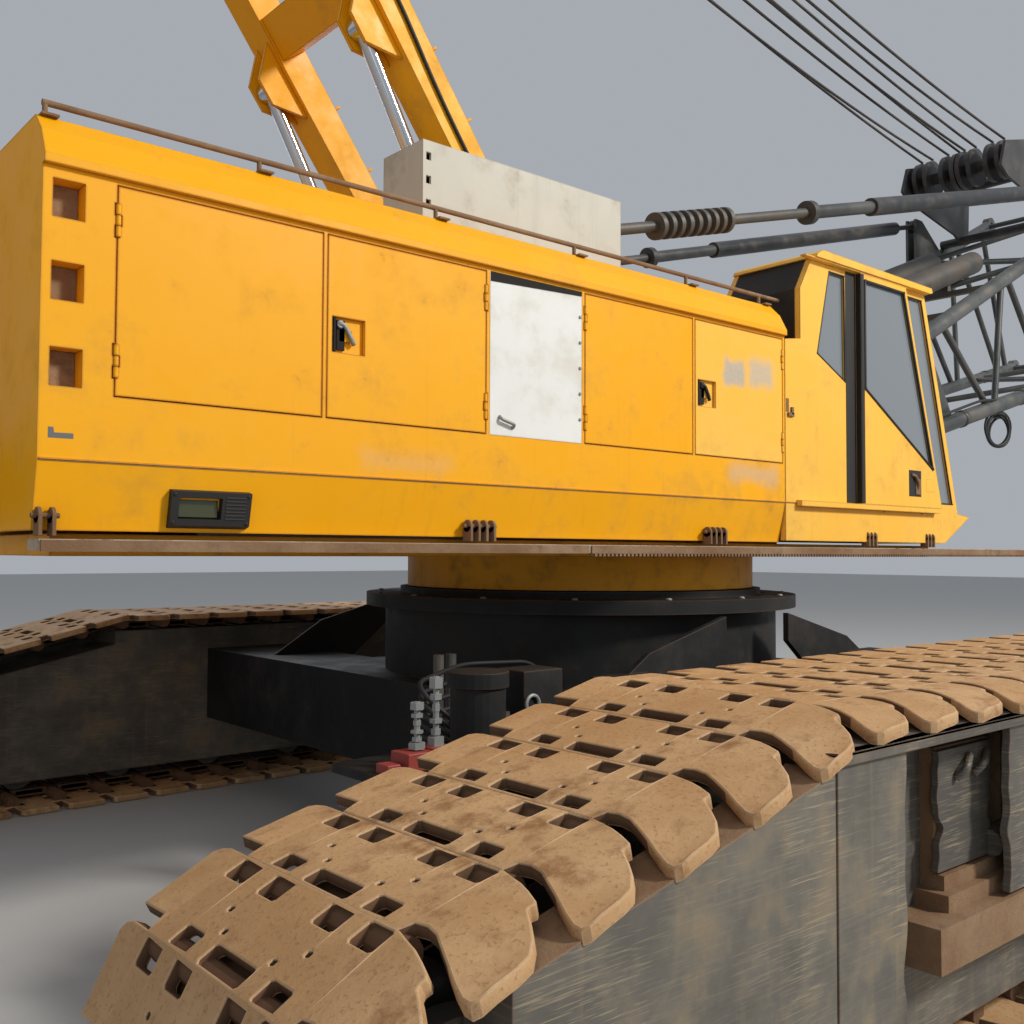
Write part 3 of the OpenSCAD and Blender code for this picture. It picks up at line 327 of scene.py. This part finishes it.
class Heap:
    """verts and faces of many simple solids that become one piece"""
    def __init__(self):
        self.v, self.f = [], []

    def box(self, lo, hi, m=None):
        k = len(self.v)
        p = [Vector((x, y, z)) for z in (lo[2], hi[2]) for y in (lo[1], hi[1]) for x in (lo[0], hi[0])]
        self.v += [m @ q if m else q for q in p]
        sides = ((0, 2, 3, 1), (4, 5, 7, 6), (0, 1, 5, 4), (2, 6, 7, 3), (0, 4, 6, 2), (1, 3, 7, 5))
        self.f += [[k + i for i in q] for q in sides]
        return self

    def prism(self, pts, y0, y1):
        """an outline in X and Z between two Y"""
        k, n = len(self.v), len(pts)
        area = sum(a[0] * b[1] - b[0] * a[1] for a, b in zip(pts, pts[1:] + pts[:1]))
        pts = pts if area > 0 else pts[::-1]
        self.v += [Vector((x, y, z)) for y in (y0, y1) for x, z in pts]
        self.f.append([k + i for i in range(n)])
        self.f.append([k + n + i for i in range(n - 1, -1, -1)])
        self.f += [[k + i, k + n + i, k + n + (i + 1) % n, k + (i + 1) % n] for i in range(n)]
        return self

    def tube(self, path, r, seg=10):
        """a closed tube along a path"""
        pts = [Vector(p) for p in path]
        k, n = len(self.v), len(pts)
        a = (pts[1] - pts[0]).normalized().orthogonal().normalized()
        turns = [2 * math.pi * j / seg for j in range(seg)]
        for i, p in enumerate(pts):
            t = (pts[min(i + 1, n - 1)] - pts[max(i - 1, 0)]).normalized()
            a = (a - t * a.dot(t)).normalized()
            b = t.cross(a)
            self.v += [p + (a * math.cos(w) + b * math.sin(w)) * r for w in turns]
        for i in range(n - 1):
            for j in range(seg):
                q, w = k + i * seg, (j + 1) % seg
                self.f.append([q + j, q + w, q + seg + w, q + seg + j])
        self.f.append([k + j for j in range(seg - 1, -1, -1)])
        self.f.append([k + (n - 1) * seg + j for j in range(seg)])
        return self

    def put(self, name, mat, body, smooth=False, bevel=0.0):
        return add(name, self.v, self.f, mat, body, smooth, bevel)


def arc_path(points, r=0.05, n=5):
    """rounds the corners of a path"""
    out = [Vector(points[0])]
    for a, b, c in zip(points, points[1:], points[2:]):
        a, b, c = Vector(a), Vector(b), Vector(c)
        u, w = (a - b), (c - b)
        d = min(r, u.length * 0.45, w.length * 0.45)
        p, q = b + u.normalized() * d, b + w.normalized() * d
        out += [p.lerp(b, i / n).lerp(b.lerp(q, i / n), i / n) for i in range(n + 1)]
    return out + [Vector(points[-1])]


def hang(p, q, sag, n=16):
    """a line that sags between two points"""
    p, q = Vector(p), Vector(q)
    return [p.lerp(q, i / n) - Vector((0, 0, sag * 4 * (i / n) * (1 - i / n))) for i in range(n + 1)]


def both(side, a, b):
    """two distances from the middle plane as a low and a high Y on one side"""
    return sorted((side * a, side * b))


# the track: one shoe, laid along the same loop as the frame's
HALF, R, FLAT, TOP = 3.690, 0.500, 2.300, 1.350
SHOES, SHIFT = 57, 0.086
TRACK_Y = 3.02
SHOE_WIDTH, HALF_THICK, ROUNDED = 1.2, 0.020, 0.005
# the outer end of a shoe bends down from here, over this width and by this much
BEND_FROM, BEND_OVER, BEND_DOWN = 0.36, 0.24, 0.030
EDGE_DOWN = 0.005
# walls of holes and edges between these two places across the shoe get painted shade, a darker copy of the shoe's
# colour
SHADE_FROM, SHADE_TO = -0.57, 0.46
CREASE = math.radians(28)
drop, reach = TOP - R, HALF - FLAT
span = math.hypot(drop, reach)
slope = math.atan2(drop, reach) - math.asin(R / span)
ramp_len = math.sqrt(span * span - R * R)
arc = (math.pi - slope) * R
loop = 2 * HALF + 2 * arc + 2 * ramp_len + 2 * FLAT
PITCH = loop / SHOES


def on_loop(s):
    """place and angle on the loop at distance s"""
    s %= loop
    if s < 2 * HALF:
        return (-HALF + s, 0.0, 0.0)
    s -= 2 * HALF
    if s < arc:
        a = -math.pi / 2 + s / R
        return (HALF + R * math.cos(a), R + R * math.sin(a), a + math.pi / 2)
    s -= arc
    if s < ramp_len:
        x0, z0 = HALF + R * math.sin(slope), R + R * math.cos(slope)
        return (x0 - s * math.cos(slope), z0 + s * math.sin(slope), math.pi - slope)
    s -= ramp_len
    if s < 2 * FLAT:
        return (FLAT - s, TOP, math.pi)
    x, z, a = on_loop(2 * (2 * HALF + arc + ramp_len + FLAT) - (s + 2 * HALF + arc + ramp_len))
    return (-x, z, 2 * math.pi - a)


def on_track(s, side):
    """the frame of a shoe or a pin at distance s, its outer face outwards"""
    x, z, a = on_loop(s)
    place = Matrix.Translation((x, side * TRACK_Y, z))
    return place @ Matrix.Rotation(-a, 4, "Y") @ Matrix.Rotation(math.pi, 4, "X")


def shoe_mesh():
    """one cast shoe and which of its faces get painted shade; u runs along the loop, w across it, its outer face is
    z = 0
    """
    h = PITCH / 2
    g = h - 0.001
    outline = [(-0.100, 0.006), (-0.096, 0.130), (-g, 0.142), (-g, 0.872), (-0.118, 0.890), (-0.112, 0.930),
               (-0.122, 0.975), (-0.145, 1.020), (-0.172, 1.075), (-0.196, 1.125), (-0.207, 1.160),
               (-0.205, 1.183), (-0.188, 1.196), (-0.150, 1.200), (-0.085, 1.199), (-0.040, 1.190),
               (0.000, 1.158), (0.030, 1.120), (0.050, 1.090), (0.058, 1.076), (0.070, 1.071),
               (0.086, 1.074), (0.098, 1.062), (0.116, 1.020), (0.133, 0.975), (0.144, 0.930),
               (g, 0.885), (g, 0.050), (g - 0.012, 0.020), (g - 0.035, 0.002)]

    def hole(u0, u1, v0, v1, c=0.008):
        return [(u0 + c, v0), (u1 - c, v0), (u1, v0 + c), (u1, v1 - c),
                (u1 - c, v1), (u0 + c, v1), (u0, v1 - c), (u0, v0 + c)]

    def round_hole(u, v, r=0.011):
        return [(u + r * math.cos(k * math.pi / 3), v + r * math.sin(k * math.pi / 3)) for k in range(6)]

    holes = [hole(-0.146, -0.084, 0.430, 0.634)]
    holes += [hole(-0.148, -0.082, a, b) for a, b in ((0.262, 0.358), (0.706, 0.802))]
    holes += [hole(0.074, 0.148, a, b)
              for a, b in ((0.160, 0.262), (0.346, 0.440), (0.624, 0.718), (0.786, 0.880))]
    holes += [round_hole(u, v) for u, v in ((0.005, 0.725), (-0.052, 0.655), (0.005, 0.335), (-0.052, 0.405))]
    cu = bpy.data.curves.new("shoe", "CURVE")
    cu.dimensions, cu.fill_mode = "2D", "BOTH"
    cu.extrude, cu.bevel_depth, cu.bevel_resolution = HALF_THICK - ROUNDED, ROUNDED, 1
    cu.offset = -ROUNDED
    for pts in [outline] + holes:
        line = cu.splines.new("POLY")
        line.points.add(len(pts) - 1)
        for q, (u, v) in zip(line.points, pts):
            q.co = (u, v - SHOE_WIDTH / 2, 0, 1)
        line.use_cyclic_u = True
    o = bpy.data.objects.new("shoe", cu)
    S.collection.objects.link(o)
    me = bpy.data.meshes.new_from_object(o.evaluated_get(bpy.context.evaluated_depsgraph_get()))
    bpy.data.objects.remove(o)
    vs = []
    for v in me.vertices:
        u, w, z = v.co
        z -= HALF_THICK
        out = max(0.0, w - BEND_FROM) / BEND_OVER
        z -= BEND_DOWN * out ** 2.4 + EDGE_DOWN * max(0.0, abs(u) / h) ** 6
        vs.append((u, w, z))
    fs = [list(p.vertices) for p in me.polygons]
    # upright faces there take the second, painted-shade material
    dark = [abs(p.normal.z) < 0.3 and SHADE_FROM < p.center.y < SHADE_TO for p in me.polygons]
    return vs, fs, dark


shoe_v, shoe_f, shoe_shade_faces = shoe_mesh()
LINK_BLOCKS = (((-0.09, -0.34, -0.100), (0.09, 0.24, -0.074)),
               ((-0.12, -0.34, -0.108), (0.12, -0.27, -0.06)),
               ((-0.12, 0.17, -0.108), (0.12, 0.24, -0.06)))
LINK_PIN = ((-0.44, 0.30), -0.062, 0.044)
# how far a flat shoe is set in where the loop is round, so that its edges don't stand out
SET_IN = PITCH * PITCH / (8 * R) * 0.9


def build_track(name, side):
    V, F = [], []
    under = Heap()
    (pin_in, pin_out), pin_z, pin_r = LINK_PIN
    for i in range(SHOES):
        s = ((i + 0.5) * PITCH + SHIFT) % loop
        m = on_track(s, side)
        if 2 * HALF < s < 2 * HALF + arc or s > loop - arc:
            m = m @ Matrix.Translation((0, 0, -SET_IN))
        k = len(V)
        V += [m @ Vector((-u, -w * side, z)) for u, w, z in shoe_v]
        F += [[k + j for j in (f if side > 0 else f[::-1])] for f in shoe_f]
        for lo, hi in LINK_BLOCKS:
            under.box(lo, hi, m)
        m = on_track((i + 1) * PITCH + SHIFT, side)
        under.tube([m @ Vector((0, -w * side, pin_z)) for w in (pin_in, pin_out)], pin_r, 12)
    o = add(name, V, F, "shoe", "lower_works")
    # second material: painted shade on the hole walls and inner edges
    o.data.materials.append(M["shoe_painted_shade"])
    o.data.polygons.foreach_set("material_index", [int(d) for d in shoe_shade_faces] * SHOES)
    o.data.set_sharp_from_angle(angle=CREASE)
    # the links beneath the shoes wear the painted-shade colour as well
    u = under.put(name + "_links", "shoe_painted_shade", "lower_works", smooth=True)
    u.data.set_sharp_from_angle(angle=CREASE)
    return o


for nm, side in (("track_right", -1), ("track_left", 1)):
    o = build_track(nm + "_shoes", side)
    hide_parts(nm)

# luffing ropes in four pairs, sagging between the gantry's peak and the bridle
ropes = Heap()
PEAK_X, PEAK_Z, BRIDLE_X, BRIDLE_Z = -4.10, 8.044, 5.75, 6.170
ROPE_R = 0.0125
# the outermost ropes lean inwards to the peak by this share
OUTER_LEAN = 0.84
for y, sag in ((-0.45, 0.30), (-0.33, 0.36), (-0.15, 0.24), (-0.03, 0.30),
               (0.03, 0.2), (0.15, 0.27), (0.33, 0.33), (0.45, 0.22)):
    peak_y = y * OUTER_LEAN if abs(y) > 0.4 else y
    ropes.tube(hang((PEAK_X, peak_y, PEAK_Z), (BRIDLE_X, y, BRIDLE_Z), sag, 24), ROPE_R, 8)
ro = ropes.put("luffing_ropes_wire", "rope", "luffing_ropes", smooth=True)
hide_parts("luffing_ropes")
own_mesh(ro)


def put(heap, name, mat, body, smooth=False, bevel=0.0):
    o = heap.put(name, mat, body, smooth, bevel)
    return o


def rod(heap, pts, r, seg=8, bend=0.05):
    """a round rod with bent corners"""
    return heap.tube(arc_path(pts, bend) if len(pts) > 2 else pts, r, seg)


def ring(heap, at, axis, big, small, n=24, seg=8):
    """a round loop about an axis"""
    at, axis = Vector(at), Vector(axis).normalized()
    a = axis.orthogonal().normalized()
    b = axis.cross(a)
    turns = [2 * math.pi * i / n for i in range(n + 1)]
    return heap.tube([at + a * big * math.cos(w) + b * big * math.sin(w) for w in turns], small, seg)


def bolt(heap, at, axis=(0, 1, 0), big=0.004, small=0.005):
    return ring(heap, at, axis, big, small, n=8, seg=6)


# side frames: outer plates flush with the shoes' ends, cut out between them with a torch
def torch(x, z0, z1, w, seed, n=26):
    """an uneven upright edge near x, bulging towards w"""
    q = random.Random(seed)
    a, b = q.random() * 6, q.random() * 6
    pts = []
    for i in range(n + 1):
        k = i / n
        bulge = 0.030 * math.exp(-((k - 0.36) / 0.07) ** 2) * w
        waves = w * (0.006 * math.sin(9 * k + a) + 0.0035 * math.sin(31 * k + b))
        pts.append((x + bulge + waves, z0 + (z1 - z0) * k))
    return pts


FACE, FACE_BACK, SOLID_FACE = 3.600, 3.572, 3.436
STRIP_OUT, STRIP_BACK = 3.614, 3.44
END_IN, END_OUT, LOW, END_LOW, END_HIGH, PLATE_HIGH = 2.497, 3.69, 0.175, 0.938, 1.214, 1.229
for side, nm in ((-1, "right"), (1, "left")):
    ends, plates, strip, top = Heap(), Heap(), Heap(), Heap()
    deep, thin = both(side, SOLID_FACE, FACE), both(side, FACE_BACK, FACE)
    for e in (-1, 1):
        def cut(*edge):
            return [(e * x, z) for x, z in torch(*edge)]

        ends.prism([(e * END_IN, LOW), (e * END_OUT, LOW), (e * END_OUT, END_LOW), (e * END_IN, END_HIGH)], *deep)
        plates.prism([(e * 2.487, LOW), (e * 2.487, PLATE_HIGH)]
                     + cut(2.115, LOW, PLATE_HIGH, 1, 5 + e, 40)[::-1], *thin)
        plates.prism(cut(1.415, 0.66, PLATE_HIGH, 1, 8 + e) + cut(0.80, 0.66, PLATE_HIGH, -1, 3 + e)[::-1], *thin)
        strip.prism(cut(1.715, 0.76, 1.165, -1, 21 + e) + cut(1.335, 0.76, 1.165, 1, 31 + e)[::-1],
                    *both(side, 3.471, 3.495))
        for k in range(2):
            hook = ((1.60, 3.50, 1.06), (1.58, 3.53, 1.10), (1.50, 3.50, 1.13))
            rod(strip, [(e * (x - 0.13 * k), side * y, z) for x, y, z in hook], 0.014, 8, 0.03)
        rod(plates, [(e * 1.36, side * 3.50, 0.80), (e * 1.00, side * 3.50, 0.84)], 0.05, 12)
        top.prism([(e * END_IN, 1.2145), (e * END_OUT, 0.9385), (e * END_OUT, 0.9415), (e * END_IN, 1.2175)], *deep)
    plates.prism([(-0.62, LOW), (0.62, LOW), (0.62, PLATE_HIGH), (-0.62, PLATE_HIGH)], *thin)
    for inner, z0 in ((FACE_BACK, 1.231), (STRIP_BACK, 1.256)):
        y0, y1 = both(side, inner, STRIP_OUT)
        plates.box((-2.51, y0, z0), (2.51, y1, 1.268))
    put(ends, "frame_ends_" + nm, "side", "lower_works", bevel=0.003)
    put(plates, "frame_plates_" + nm, "side", "lower_works", bevel=0.003)
    put(strip, "frame_inner_plates_" + nm, "side", "lower_works", bevel=0.003)
    put(top, "frame_tops_" + nm, "rust", "lower_works")

# doors: lever handles in their pockets, and near-black pieces in each pocket as painted shade
for nm, x0, lever in (("right_door_2", -2.879, "steel"), ("right_door_4", -0.519, "rubber")):
    h = Heap().box((x0 + 0.002, -1.4985, 2.663), (x0 + 0.012, -1.4805, 2.807))
    h.box((x0 + 0.020, -1.492, 2.672), (x0 + 0.058, -1.4795, 2.798))
    put(h, nm + "_pocket", "hole", nm)
    h = Heap()
    path = ((0.02, -1.494, 2.785), (0.05, -1.502, 2.78), (0.085, -1.502, 2.725), (0.10, -1.496, 2.70))
    rod(h, [(x0 + x, y, z) for x, y, z in path], 0.010, 8, 0.02)
    ring(h, (x0 + 0.035, -1.497, 2.78), (0, 1, 0), 0.012, 0.006)
    put(h, nm + "_handle", lever, nm, smooth=True)

# white panel: a near-black strip over it, painted shade of the gap, rivets and a small handle
h = Heap().prism([(-2.035, 3.150), (-1.442, 3.150), (-1.442, 3.128), (-2.035, 3.105)], -1.5035, -1.4995)
put(h, "panel_gap_shade", "hole", "upper_works")
h = Heap()
for k in range(5):
    bolt(h, (-1.452, -1.503, 3.02 - 0.13 * k))
rod(h, [(-1.98, -1.502, 2.47), (-1.98, -1.52, 2.455), (-1.90, -1.52, 2.435), (-1.90, -1.502, 2.42)], 0.008, 8, 0.012)
put(h, "panel_handle", "steel", "upper_works", smooth=True)

# lugs with a pin under the skirt
lugs = Heap()
LUG_Y, LUG_Z, LUG_R, LUG_HALF, LUG_STEP = -1.488, 1.950, 0.030, 0.007, 0.046
for x, n in ((-4.00, 2), (-2.085, 4), (-0.36, 4), (1.285, 3), (2.07, 3)):
    for k in range(n):
        a = x + LUG_STEP * (k - (n - 1) / 2)
        lugs.tube([(a - LUG_HALF, LUG_Y, LUG_Z), (a + LUG_HALF, LUG_Y, LUG_Z)], LUG_R, 14)
        lugs.prism([(a - LUG_HALF, 1.880), (a + LUG_HALF, 1.880), (a + LUG_HALF, LUG_Z), (a - LUG_HALF, LUG_Z)],
                   LUG_Y - LUG_R, LUG_Y + LUG_R)
    rod(lugs, [(x - 0.024 * n, LUG_Y, LUG_Z), (x + 0.024 * n, LUG_Y, LUG_Z)], 0.010, 8)
put(lugs, "skirt_lugs", "rust", "upper_works", bevel=0.002)

# walkway: its edge strips and the teeth of its grating
grate = Heap()
for k in range(166):
    x = -1.36 + 0.030 * k
    grate.box((x, -1.519, 1.812), (x + 0.016, -1.509, 1.827))
for x0, x1 in ((-4.02, -1.40), (-1.38, 3.60)):
    grate.box((x0, -1.519, 1.826), (x1, -1.5105, 1.866))
put(grate, "walkway_teeth", "rust", "upper_works")

# house side: bare scuff, the fold's lip with a dark strip under it as painted shadow, and rust-brown sheets in the
# step pockets as painted shade
h = Heap().prism([(-4.000, 2.218), (-3.915, 2.219), (-3.915, 2.238),
                  (-3.980, 2.237), (-3.982, 2.256), (-4.000, 2.256)], -1.5007, -1.4990)
put(h, "scuff", "scuff", "upper_works")
h = Heap().box((-4.030, -1.5040, 2.1435), (1.10, -1.4990, 2.1500))
put(h, "house_lip", "yellow", "upper_works", bevel=0.001)
# a rust-dark strip right under the lip: painted shadow of the lip
put(Heap().box((-4.030, -1.5012, 2.1390), (1.10, -1.4980, 2.1435)), "house_lip_shadow", "rust", "upper_works")
# rust-brown sheets on the pockets' inner faces: painted shade
slab = Heap()
for z in (2.400, 2.700, 2.990):
    slab.box((-3.998, -1.424, z + 0.002), (-3.892, -1.4225, z + 0.133))
put(slab, "pocket_shade_sheets", "rust", "upper_works")


# side lamp: dark housing, lens on the left, louvres and screws on its sloped face
def lamp_y(z):
    return -1.4851 - 0.2173 * (z - 1.925)


put(Heap().box((-3.527, -1.470, 1.952), (-3.363, -1.4575, 2.028)), "lamp_housing", "hole", "upper_works")
h = Heap().box((-3.524, -1.4765, 1.956), (-3.366, -1.4690, 2.024))
put(h, "lamp_lens", "lens", "upper_works", bevel=0.006)
h = Heap()
for k in range(7):
    z = 1.950 + 0.0135 * k
    h.box((-3.345, lamp_y(z) - 0.003, z), (-3.262, lamp_y(z) + 0.004, z + 0.005))
for x in (-3.548, -3.252):
    for z in (1.935, 2.040):
        bolt(h, (x, lamp_y(z), z), (0, 1, 0.2), 0.004, 0.004)
put(h, "lamp_louvres", "rubber", "upper_works")


# cab: black seals round the windows, the dark post at the door, its handle and a cover plate
def seal(heap, pts, y, r):
    for a, b in zip(pts, pts[1:] + pts[:1]):
        heap.tube([(a[0], y, a[1]), (b[0], y, b[1])], r, 6)
        heap.tube([(a[0], y - r, a[1]), (a[0], y + r, a[1])], r, 8)


h = Heap()
seal(h, [(1.160, 3.655), (1.665, 3.655), (2.050, 2.440), (1.160, 2.930)], -1.5405, 0.010)
h.box((1.112, -1.5445, 2.165), (1.146, -1.5412, 3.695))
h.box((1.715, -1.5430, 2.235), (1.880, -1.5405, 2.418))
h.box((1.1070, -1.5415, 2.165), (1.1098, -1.5070, 3.695))
put(h, "cab_door_seals", "rubber", "cab_door")
h = Heap()
rod(h, [(1.75, -1.543, 2.385), (1.78, -1.556, 2.38), (1.82, -1.556, 2.33), (1.83, -1.543, 2.29)], 0.011, 8, 0.02)
h.box((1.80, -1.548, 2.25), (1.865, -1.543, 2.36))
put(h, "cab_door_handle", "rust", "cab_door")
h = Heap().box((1.953, -1.5418, 2.273), (2.067, -1.5405, 2.367))
put(h, "cab_door_cover", "yellow_cab", "cab_door")
h = Heap()
seal(h, [(0.800, 3.660), (0.975, 3.660), (0.985, 2.960), (0.660, 3.110)], -1.4985, 0.006)
seal(h, [(1.780, 3.660), (1.985, 3.660), (2.415, 2.200), (2.225, 2.200)], -1.4985, 0.006)
h.box((0.990, -1.5035, 2.165), (1.104, -1.4995, 3.695))
put(h, "cab_seals", "rubber", "upper_works")


# bolted plate in the cab's skirt, and the latch behind the cab
def skirt_y(z):
    return -1.5 + 0.204 * (2.145 - z)


h = Heap()
corners = [(1.450, 2.135), (1.965, 2.135), (1.955, 2.005), (1.440, 2.015)]
for a, b in zip(corners, corners[1:] + corners[:1]):
    for k in range(4):
        f = (k + 0.5) / 4
        x, z = a[0] + (b[0] - a[0]) * f, a[1] + (b[1] - a[1]) * f
        bolt(h, (x, skirt_y(z) - 0.003, z), (0, 1, 0.2))
    h.tube([(x * 1.002 - 0.003, skirt_y(z) - 0.001, z + (0.006 if z > 2.1 else -0.006)) for x, z in (a, b)],
           0.0028, 6)
h.box((0.318, -1.5025, 2.705), (0.345, -1.4990, 2.787))
h.box((0.330, -1.512, 2.676), (0.390, -1.4990, 2.700))
h.box((0.365, -1.512, 2.690), (0.385, -1.4990, 2.735))
put(h, "cab_bolts", "rust", "upper_works")

# roof rail brackets
h = Heap()
for x in (-3.99, -3.15, -2.25, -1.35, -0.45, 0.25):
    h.box((x - 0.03, -1.425, 3.371), (x + 0.03, -1.355, 3.379))
put(h, "rail_feet", "rust", "upper_works")

# gantry: rungs, brackets, hoses; a place on a leg is a distance along it and one ahead of it
LEG_ANGLE, LEG_FOOT = math.radians(126.24), (-0.275, 2.45)


def leg(along, ahead):
    c, s = math.cos(LEG_ANGLE), math.sin(LEG_ANGLE)
    return (LEG_FOOT[0] + along * c + ahead * s, LEG_FOOT[1] + along * s - ahead * c)


def on_leg(along, ahead, y):
    x, z = leg(along, ahead)
    return (x, y, z)


h, hose = Heap(), Heap()
for side in (-1, 1):
    for k in range(13):
        t = 0.95 + 0.42 * k
        rung = ((0.095, 0.44), (0.16, 0.44), (0.16, 0.60), (0.095, 0.60))
        rod(h, [on_leg(t, ahead, side * y) for ahead, y in rung], 0.009, 8, 0.02)
    y0, y1 = both(side, 0.63, 0.640)
    for k in range(8):
        t = 1.3 + 0.62 * k
        a, b = leg(t, -0.02), leg(t + 0.03, 0.02)
        h.box((min(a[0], b[0]), y0, min(a[1], b[1])), (max(a[0], b[0]), y1, max(a[1], b[1])))
    path = ((0.5, -0.03, 0.639), (2.4, -0.02, 0.641), (2.9, 0.02, 0.642), (6.0, 0.0, 0.640))
    rod(hose, [on_leg(t, ahead, side * y) for t, ahead, y in path], 0.011, 8, 0.2)
put(h, "gantry_rungs", "yellow", "gantry", smooth=True)
put(hose, "gantry_hoses", "rubber", "gantry", smooth=True)


# boom: hose coil with its lead, drums on two cross bars between the chords, clamps and a short grey pipe
def low_chord(x):
    return 2.23 + 0.2625 * (x - 0.9)


def high_chord(x):
    return 2.5 + 0.492 * (x - 0.9)


h = Heap()
for k in range(6):
    ring(h, (4.72 + 0.035 * k, -0.80 + 0.012 * k, 3.02 - 0.010 * (k % 3)), (0.25, 1, 0.15 * (k % 2)),
         0.165 - 0.012 * (k % 3), 0.012, n=28)
rod(h, [(4.74, -0.80, 3.18), (4.70, -0.82, 3.28), (4.30, -0.86, 3.24), (3.60, -0.87, 3.05), (2.2, -0.86, 2.62)],
    0.013, 8, 0.2)
put(h, "boom_hoses", "rubber", "boom", smooth=True)
h = Heap()
for y, z0 in ((-0.28, 4.20), (0.16, 4.28)):
    h.tube([(3.75, y, z0), (5.35, y, z0 + 0.62)], 0.115, 20)
    h.tube([(3.68, y, z0 - 0.025), (3.76, y, z0 + 0.005)], 0.14, 20)
for x in (4.02, 4.82):
    h.box((x - 0.03, -0.76, high_chord(x) - 0.05), (x + 0.03, 0.76, high_chord(x)))
    h.box((x - 0.03, -0.30, 4.20 + 0.3875 * (x - 3.75)), (x + 0.03, 0.18, high_chord(x)))
put(h, "boom_drums", "machine", "boom", smooth=True).data.set_sharp_from_angle(angle=math.radians(35))
h = Heap()
for x in (3.98, 5.2, 6.6, 7.9):
    for y in (-0.80, 0.80):
        h.tube([(x, y, low_chord(x)), (x + 0.05, y, low_chord(x) + 0.013)], 0.078, 16)
h.tube([(2.92, -0.93, 2.86), (3.62, -0.72, 3.02)], 0.028, 10)
put(h, "boom_clamps", "lace", "boom", smooth=True)

# carbody: shelf with filter and valve block, slanted braces under the ring
h = Heap()
h.box((-2.95, -2.22, 0.96), (-1.49, -1.64, 1.00))
h.prism([(-2.70, 0.96), (-1.50, 0.96), (-1.50, 0.62)], -1.95, -1.92)
h.tube([(-2.42, -1.90, 1.00), (-2.42, -1.90, 1.28)], 0.115, 24)
h.tube([(-2.42, -1.90, 1.28), (-2.42, -1.90, 1.345)], 0.128, 24)
h.box((-2.24, -1.98, 1.16), (-2.02, -1.80, 1.335))
h.box((-2.20, -1.94, 1.00), (-2.06, -1.84, 1.16))
for e in (-1, 1):
    brace = [(0.80, 0.90), (1.35, 1.051), (0.95, 1.30), (0.30, 1.47), (0.30, 1.30)]
    for y0, y1 in ((-1.52, -1.48), (1.88, 1.90)):
        h.prism([(e * x, z) for x, z in brace], y0, y1)
    h.box((e * 1.15 - 0.18, -1.75, 1.051), (e * 1.15 + 0.18, -1.45, 1.20))
put(h, "carbody_valves", "black", "lower_works", bevel=0.004)

# two stacks of fittings on a red block, a ring, the bolts round the slewing ring, and hoses
h = Heap()
NUTS = ((0.034, 0.8), (0.020, 0.5), (0.026, 0.35), (0.016, 0.6), (0.024, 0.5), (0.028, 0.9))
VALVE_Y, VALVE_LOW = -1.95, 1.075
for x, high in ((-2.76, 1.255), (-2.67, 1.345)):
    step = (high - VALVE_LOW) / 6
    for k, (r, share) in enumerate(NUTS):
        z = VALVE_LOW + (high - VALVE_LOW) * k / 6
        h.tube([(x, VALVE_Y, z), (x, VALVE_Y, z + step * share)], r, 6)
        h.tube([(x, VALVE_Y, z), (x, VALVE_Y, z + step)], 0.012, 8)
ring(h, (-2.20, -1.99, 1.20), (0, 1, 0), 0.035, 0.008)
for k in range(16):
    a = 2 * math.pi * k / 16
    bolt(h, (1.40 * math.cos(a), 1.40 * math.sin(a), 1.562), (0, 0, 1), 0.010, 0.010)
put(h, "carbody_fittings", "steel", "lower_works")
h = Heap().box((-2.72, -2.01, 1.001), (-2.62, -1.89, 1.078))
h.box((-2.84, -2.01, 1.001), (-2.70, -1.89, 1.070))
h.box((-2.92, -1.99, 0.98), (-2.86, -1.91, 1.035))
put(h, "carbody_valve_base", "red", "lower_works", bevel=0.004)
h = Heap()
for k in range(5):
    z = 1.06 + 0.05 * k
    rod(h, [(-2.45 + 0.04 * k, -1.75, 1.01), (-2.50, -1.55, z), (-2.0, -1.45 + 0.05 * k, z + 0.03),
            (-1.45, -1.35 + 0.05 * k, z), (-1.25, -1.1, 1.08)], 0.011, 8, 0.12)
rod(h, [(-1.86, -2.24, 0.97), (-1.86, -2.24, 1.29)], 0.007, 6)
put(h, "carbody_hoses", "rubber", "lower_works", smooth=True)


# pale floor and soft studio light
def soft_light(name, at, size, power, colour, to=(0, 0, 2)):
    lamp = bpy.data.objects.new(name, bpy.data.lights.new(name, "AREA"))
    S.collection.objects.link(lamp)
    lamp.data.energy, lamp.data.size, lamp.data.color = power, size, colour
    lamp.location = at
    lamp.rotation_mode = "QUATERNION"
    lamp.rotation_quaternion = (Vector(to) - Vector(at)).to_track_quat("-Z", "Y")


bpy.ops.mesh.primitive_plane_add(size=160, location=(0, 0, -0.004))
floor = bpy.context.object
floor.name = "floor"
floor.data.materials.append(plain("floor", (0.46, 0.455, 0.445), 0.85))
soft_light("key", (8, -17, 14), 3.0, 4450, (1.0, 0.96, 0.89))
soft_light("fill", (-13, -12, 7), 12, 260, (0.92, 0.96, 1.0))
soft_light("back", (4, 14, 12), 10, 450, (0.95, 0.97, 1.0), (0, 0, 3))
world = bpy.data.worlds.new("world")
S.world = world
world.use_nodes = True
sky = world.node_tree.nodes["Background"]
sky.inputs[0].default_value = (0.80, 0.85, 0.92, 1)
sky.inputs[1].default_value = 0.48
S.view_settings.view_transform = "Standard"
S.view_settings.look = "None"
